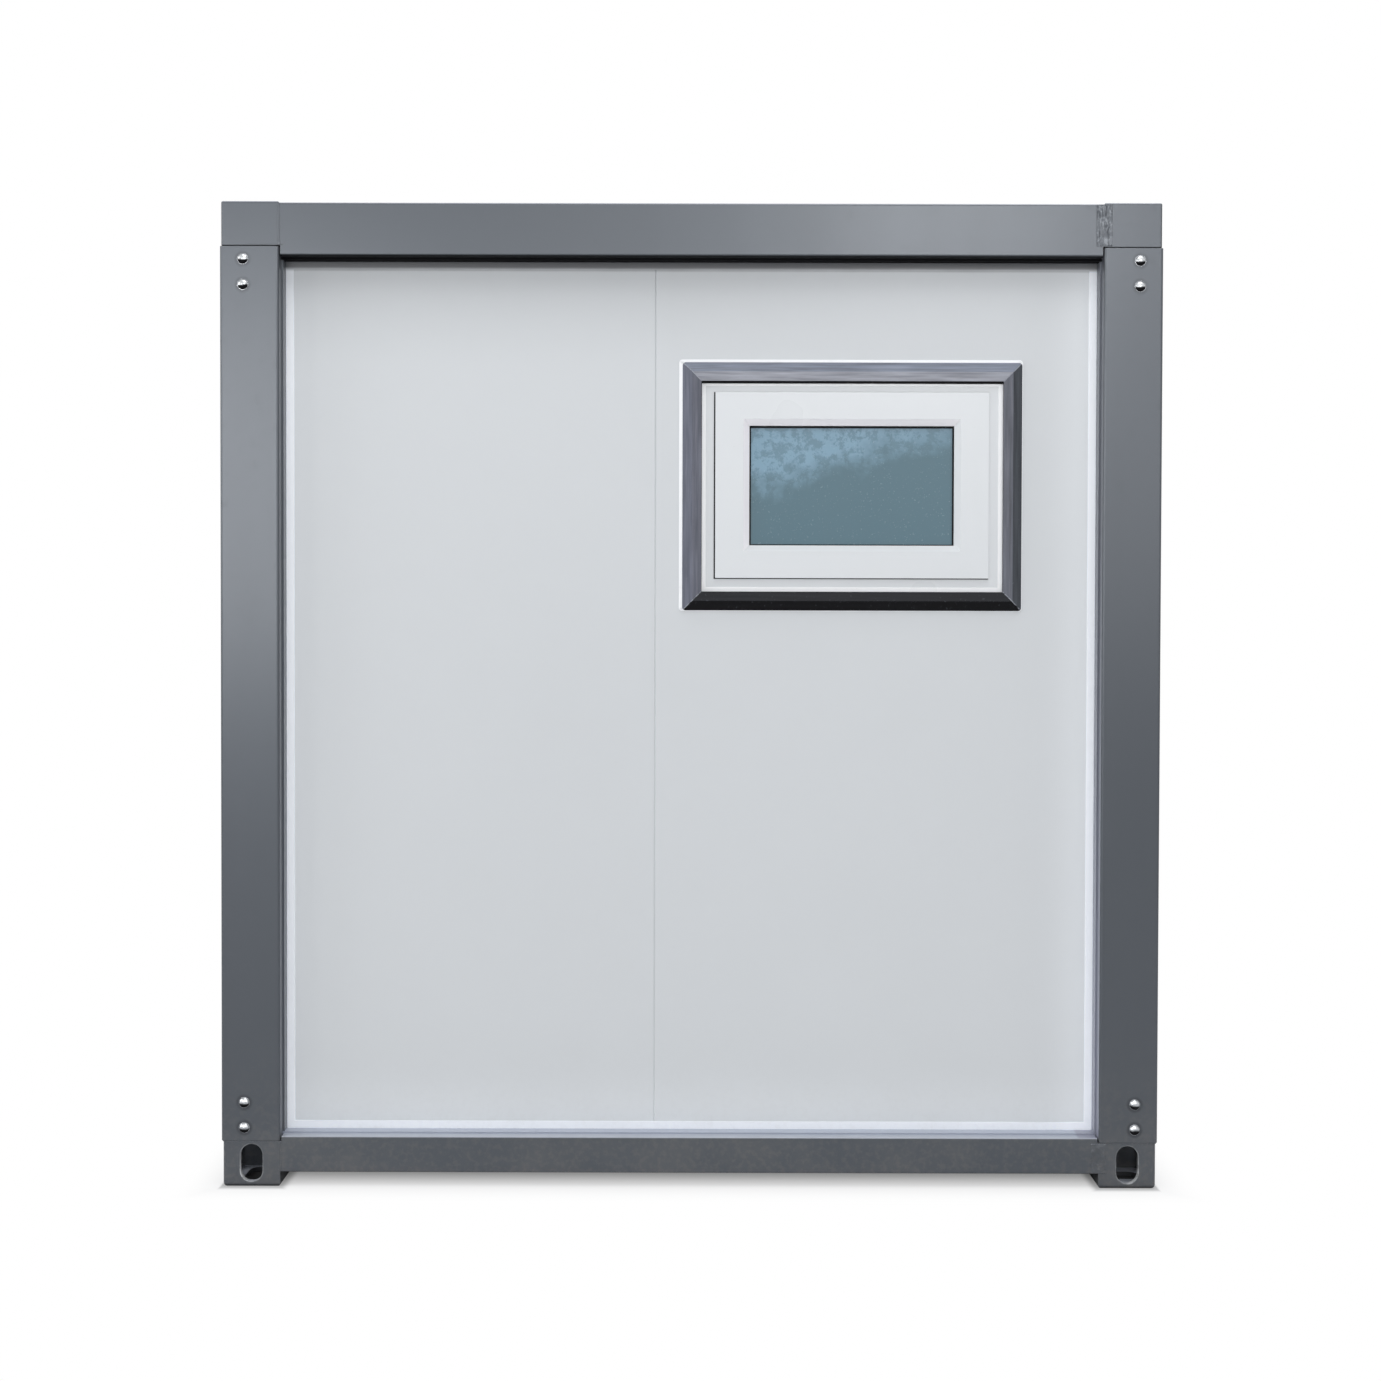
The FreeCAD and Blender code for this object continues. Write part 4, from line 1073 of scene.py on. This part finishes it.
class CABIN_OT_add_window_seals(CabinStep, bpy.types.Operator):
    """Lays the sealant round the trim, the frame's raised rim and the black gaskets of the window"""

    bl_idname = "cabin.add_window_seals"
    bl_label = "Add window seals"

    def work(self):
        self.trim_low, self.trim_high = box_of("window_trim")
        self.sealant()
        self.rim()
        self.gaskets()

    def trim_opening(self, lap):
        """The opening inside the trim, made larger so that a ring laps behind the trim's inner edge."""
        trim = self.trim_high - self.trim_low
        member = fittings().trim_member
        return trim.x - member * 2 + lap, trim.z - member * 2 + lap

    def on_front(self, ring, x, plane, z, sink):
        settle(ring, on_side("front", Vector((x, plane, z)), sink))

    def sealant(self):
        """Silicone that lies thick at the trim's left and top and thin at its right and foot."""
        sizes = fittings()
        hidden, thin = 2.5 * MM, 1.6 * MM
        left, top = sizes.sealant_width, sizes.sealant_width * 0.8
        trim = self.trim_high - self.trim_low
        middle = (self.trim_low + self.trim_high) / 2
        ring = flat_ring(
            "trim_sealant",
            trim.x + left + thin,
            trim.z + top + thin,
            left + hidden,
            sizes.sealant_height,
            corner=left,
            round_over=sizes.sealant_height * 0.55,
        )
        wall = front_of("wall_panel_front_right")
        self.on_front(ring, middle.x - (left - thin) / 2, wall, middle.z + (top - thin) / 2, 0.4 * MM)
        finished(ring, cabin_material("silicone", silicone, "sealant"), angle=60.0)

    def rim(self):
        """The window frame's own raised rim, sloping down to the sash, just inside the trim, in a paler copy
        of the window plastic as a painted highlight.
        """
        width, height = self.trim_opening(1 * MM)
        member, thick, fall = 12.5 * MM, 5 * MM, 4 * MM
        ring = sloped_ring("window_rim", width, height, member, thick, fall)
        middle = (self.trim_low + self.trim_high) / 2
        self.on_front(ring, middle.x, front_of("window_frame"), middle.z, 0.3 * MM)
        finished(ring, cabin_material("rim_plastic", window_plastic, "rim_highlight_white"))

    def gaskets(self):
        """Black strips of painted shade inside the trim and round the sash, and the glass's black gasket set
        low so that more of it shows at its top as painted shade.
        """
        line = fittings().gasket_width
        sash_low, sash_high = box_of("window_sash")
        sash = sash_high - sash_low
        middle = (sash_low + sash_high) / 2
        trim_drop = (self.trim_high.z + self.trim_low.z) / 2 - middle.z
        trim_width, trim_height = self.trim_opening(line * 4)
        frame_front = front_of("window_frame")
        glass_front = front_of("window_glass")
        glass_width, glass_height = 540 * MM, 316 * MM
        lap, drop = line * 0.9, trim_drop - line * 1.8
        # Name, width, height, member, thickness, the plane it lies on, and how far aside and up it sits.
        rings = (
            # The trim and sash rings are black strips of painted shade; the glass ring is a gasket set low to
            # show painted shade at its top.
            ("trim_gasket", trim_width, trim_height, line * 2, 7 * MM, frame_front, line * 0.4, drop),
            ("sash_gasket", sash.x + lap, sash.z + lap, line * 1.5, 3 * MM, frame_front, -2 * MM, -0.8 * MM),
            ("glass_gasket", glass_width, glass_height, line * 1.7, 3 * MM, glass_front, 0.0, -1.5 * MM),
        )
        for name, width, height, member, thick, plane, aside, up in rings:
            ring = flat_ring(name, width, height, member, thick, round_over=0.6 * MM)
            self.on_front(ring, middle.x + aside, plane, middle.z + up, 0.2 * MM)
            finished(ring, black_rubber())


class CABIN_OT_add_door_fittings(CabinStep, bpy.types.Operator):
    """Adds the door's gasket, its lock cylinder and the screws of its plate and hinges"""

    bl_idname = "cabin.add_door_fittings"
    bl_label = "Add door fittings"

    def work(self):
        leaf_low, leaf_high = box_of("door_leaf")
        handle_low, handle_high = box_of("door_handle")
        plate_middle, plate_thick = 20 * MM, 4 * MM
        plate_x, plate_face = handle_low.x + plate_middle, leaf_high.y + plate_thick
        self.gasket(leaf_low, leaf_high)
        self.lock(Vector((plate_x, plate_face, handle_low.z + 45 * MM)))
        end = 12 * MM
        plate_screws = [Vector((plate_x, plate_face, z)) for z in (handle_low.z + end, handle_high.z - end)]
        self.screws(plate_screws + self.hinge_screws(leaf_high.y))

    def gasket(self, low, high):
        gap = 3 * MM
        width, height = high.x - low.x + gap * 1.9, high.z - low.z + gap * 1.9
        thick, behind = 10 * MM, 13 * MM
        ring = flat_ring("door_gasket", width, height, gap * 0.9, thick)
        middle = (low + high) / 2
        settle(ring, on_side("back", Vector((middle.x, high.y, middle.z)), behind))
        finished(ring, black_rubber())

    def lock(self, where):
        """A key cylinder below the lever: a round rim with a sunk plug and a key slot in it."""
        piece = primitive("cylinder", "door_lock", vertices=32, radius=9 * MM, depth=5 * MM)
        select_top(piece)
        inset(1.4 * MM)
        move(z=-1.2 * MM)
        inset(4.4 * MM)
        stretch(0.5, 2.4)
        move(z=-2.0 * MM)
        object_mode()
        settle(piece, on_side("back", where, 0.3 * MM))
        finished(join_pieces([piece], "door_lock"), zinc_plate())

    def hinge_screws(self, leaf_face):
        """Three pairs of screws in each of the three hinges."""
        low, high = box_of("door_hinges")
        half_hinge, hinge_thick = 50 * MM, 3 * MM
        rise, aside = 36 * MM, 17 * MM
        first, last = low.z + half_hinge, high.z - half_hinge
        return [
            Vector(((low.x + high.x) / 2 + side, leaf_face + hinge_thick, middle + up))
            for middle in (first, (first + last) / 2, last)
            for up in (-rise, 0.0, rise)
            for side in (-aside, aside)
        ]

    def screws(self, spots):
        head = domed_head(7 * MM, 1.6 * MM, segments=16, rings=3)
        places = [on_side("back", spot, 0.1 * MM) for spot in spots]
        finished(place_copies(head, places, "door_screws"), zinc_plate())


class CABIN_OT_add_roof_screws(CabinStep, bpy.types.Operator):
    """Screws the roof sheet down along its ribs"""

    bl_idname = "cabin.add_roof_screws"
    bl_label = "Add roof screws"

    def work(self):
        sizes = fittings()
        low, high = box_of("roof_sheet")
        ribs, rows = 8, sizes.roof_screw_rows
        edge = 45 * MM
        rib_gap = (high.x - low.x) / ribs
        row_gap = (high.y - low.y - edge * 2) / (rows - 1)
        places = [
            Matrix.Translation((low.x + rib_gap * (rib + 0.5), low.y + edge + row_gap * row, high.z))
            for rib in range(ribs)
            for row in range(rows)
        ]
        screw = hex_screw(sizes.roof_screw, 8 * MM)
        finished(place_copies(screw, places, "roof_screws"), zinc_plate())


class CABIN_OT_set_stage(CabinStep, bpy.types.Operator):
    """Sets the floor, the lamps, the sky and the camera"""

    bl_idname = "cabin.set_stage"
    bl_label = "Set the stage"

    def work(self):
        self.floor()
        self.sky()
        self.lamps()
        self.camera()
        bpy.context.scene.view_settings.view_transform = "Standard"

    def floor(self):
        """A pale floor that keeps the cabin's shadow, with a contact shadow painted near and under the feet,
        and fades into the backdrop.
        """
        deselect()
        bpy.ops.mesh.primitive_plane_add(size=60.0)
        piece = bpy.context.object
        piece.name = "studio_floor"
        finish = Finish("studio_floor")
        half_width, half_depth = CAD_BOX[1].x, CAD_BOX[1].y
        foot = box_of("corner_foot_front_left")[1].x - CAD_BOX[0].x
        across, deep = abs(finish.axis("X")), abs(finish.axis("Y"))
        away = (across - half_width).most(deep - half_depth)
        beside = (half_width - foot - across).most(half_depth - foot - deep)
        from_foot = away.most(beside).most((across - half_width) * 3.0)
        # Painted contact shadow close in front of the feet and under them.
        near_foot = from_foot.fading(0.0, 0.026) * 0.55 + from_foot.fading(-0.02, -0.01) * 0.45
        fade = (0.12 + 0.88 * away.between(-0.2, 0.12)) * (1.0 - near_foot)
        grain = finish.noise(18.0, detail=4.0)
        shell = finish.shade((0.86, 0.86, 0.865), (0.985 + 0.03 * grain) * (1.0 - 0.9 * near_foot))
        matte = finish.node("BsdfDiffuse", {"Color": shell})
        path = finish.node("LightPath", output="Is Camera Ray")
        glow = finish.node("Emission", {"Color": WHITE, "Strength": 1.0})
        finish.ended(finish.node("MixShader", {0: fade * path, 1: matte, 2: glow}))
        piece.data.materials.append(finish.data)

    def sky(self):
        """White where the camera, gloss or glass looks at it, and a cool even light on the object."""
        world = bpy.data.worlds.new("studio_sky")
        bpy.context.scene.world = world
        finish = Finish("studio_sky", world)
        camera, glossy, through = [
            finish.node("LightPath", output=f"Is {ray} Ray")
            for ray in ("Camera", "Glossy", "Transmission")
        ]
        level = studio().fill_level
        cool = (0.97 * level, 0.99 * level, 1.03 * level, 1.0)
        tint = finish.mix(camera.most(glossy).most(through), cool, WHITE)
        finish.ended(finish.node("Background", {"Color": tint, "Strength": 1.0}), "World")

    def lamps(self):
        levels = studio()
        # Name, place, width and height, brightness, and whether it lights as well as shining in gloss.
        lamps = (
            ("softbox", (1.5, -7.5, 3.0), (5.4, 3.0), levels.softbox_level, True),
            ("key", (-7.0, -4.0, 3.2), (4.0, 4.0), levels.key_level, True),
            ("left_sheen", (-2.9, -7.0, 2.35), (2.2, 2.3), levels.sheen_level * 1.32, False),
            ("right_sheen", (1.5, -7.0, 3.9), (1.7, 0.8), levels.sheen_level * 2.2, False),
            ("overhead", (0.8, -3.0, 6.6), (4.5, 3.4), levels.overhead_level, True),
            ("back_light", (3.0, 6.5, 4.4), (4.5, 3.0), levels.overhead_level, True),
        )
        aim = Vector((0, 0, 1.3))
        for name, place, (width, height), strength, lights in lamps:
            deselect()
            bpy.ops.object.light_add(type="AREA", location=place)
            lamp = bpy.context.object
            lamp.name = name
            lamp.data.shape = "RECTANGLE"
            lamp.data.size = width
            lamp.data.size_y = height
            lamp.data.energy = strength * math.pi * width * height
            lamp.visible_diffuse = lights
            lamp.rotation_euler = (aim - Vector(place)).to_track_quat("-Z", "Y").to_euler()

    def camera(self):
        """The photograph's camera: its place and turn were worked out from the cabin's own edges."""
        settings = studio()
        deselect()
        bpy.ops.object.camera_add()
        camera = bpy.context.object
        place = (settings.camera_side, CAD_BOX[0].y - settings.camera_distance, settings.camera_height)
        level = math.radians(90)
        camera.matrix_world = (
            Matrix.Translation(place)
            @ Matrix.Rotation(settings.camera_yaw, 4, "Z")
            @ Matrix.Rotation(level + settings.camera_pitch, 4, "X")
            @ Matrix.Rotation(settings.camera_roll, 4, "Z")
        )
        camera.data.sensor_fit = "HORIZONTAL"
        camera.data.sensor_width = SENSOR_WIDTH
        camera.data.lens = SENSOR_WIDTH * settings.focal_pixels / settings.picture_pixels
        camera.data.shift_y = settings.picture_rise / settings.picture_pixels
        bpy.context.scene.camera = camera


class CABIN_PT_dressing(bpy.types.Panel):
    """Lists the steps that dress the cabin"""

    bl_idname = "CABIN_PT_dressing"
    bl_label = "Cabin"
    bl_space_type = "VIEW_3D"
    bl_region_type = "UI"
    bl_category = "Cabin"

    def draw(self, context):
        layout = self.layout
        for step in STEPS:
            layout.operator(step.bl_idname)
        for group in (context.scene.cabin_colours, context.scene.cabin_fittings, context.scene.cabin_studio):
            box = layout.box()
            for name in group.__annotations__:
                box.prop(group, name)


STEPS = (
    CABIN_OT_finish_frame,
    CABIN_OT_finish_walls,
    CABIN_OT_finish_window,
    CABIN_OT_finish_door,
    CABIN_OT_add_post_bolts,
    CABIN_OT_add_welds,
    CABIN_OT_add_window_seals,
    CABIN_OT_add_door_fittings,
    CABIN_OT_add_roof_screws,
    CABIN_OT_set_stage,
)
GROUPS = {
    "cabin_colours": CabinColours,
    "cabin_fittings": CabinFittings,
    "cabin_studio": StudioSettings,
}


def register():
    for kind in (*GROUPS.values(), *STEPS, CABIN_PT_dressing):
        bpy.utils.register_class(kind)
    for name, kind in GROUPS.items():
        setattr(bpy.types.Scene, name, PointerProperty(type=kind))


def unregister():
    for name in GROUPS:
        delattr(bpy.types.Scene, name)
    for kind in reversed((*GROUPS.values(), *STEPS, CABIN_PT_dressing)):
        bpy.utils.unregister_class(kind)


def main():
    register()
    for step in STEPS:
        group, name = step.bl_idname.split(".")
        getattr(getattr(bpy.ops, group), name)()


if __name__ == "__main__":
    main()
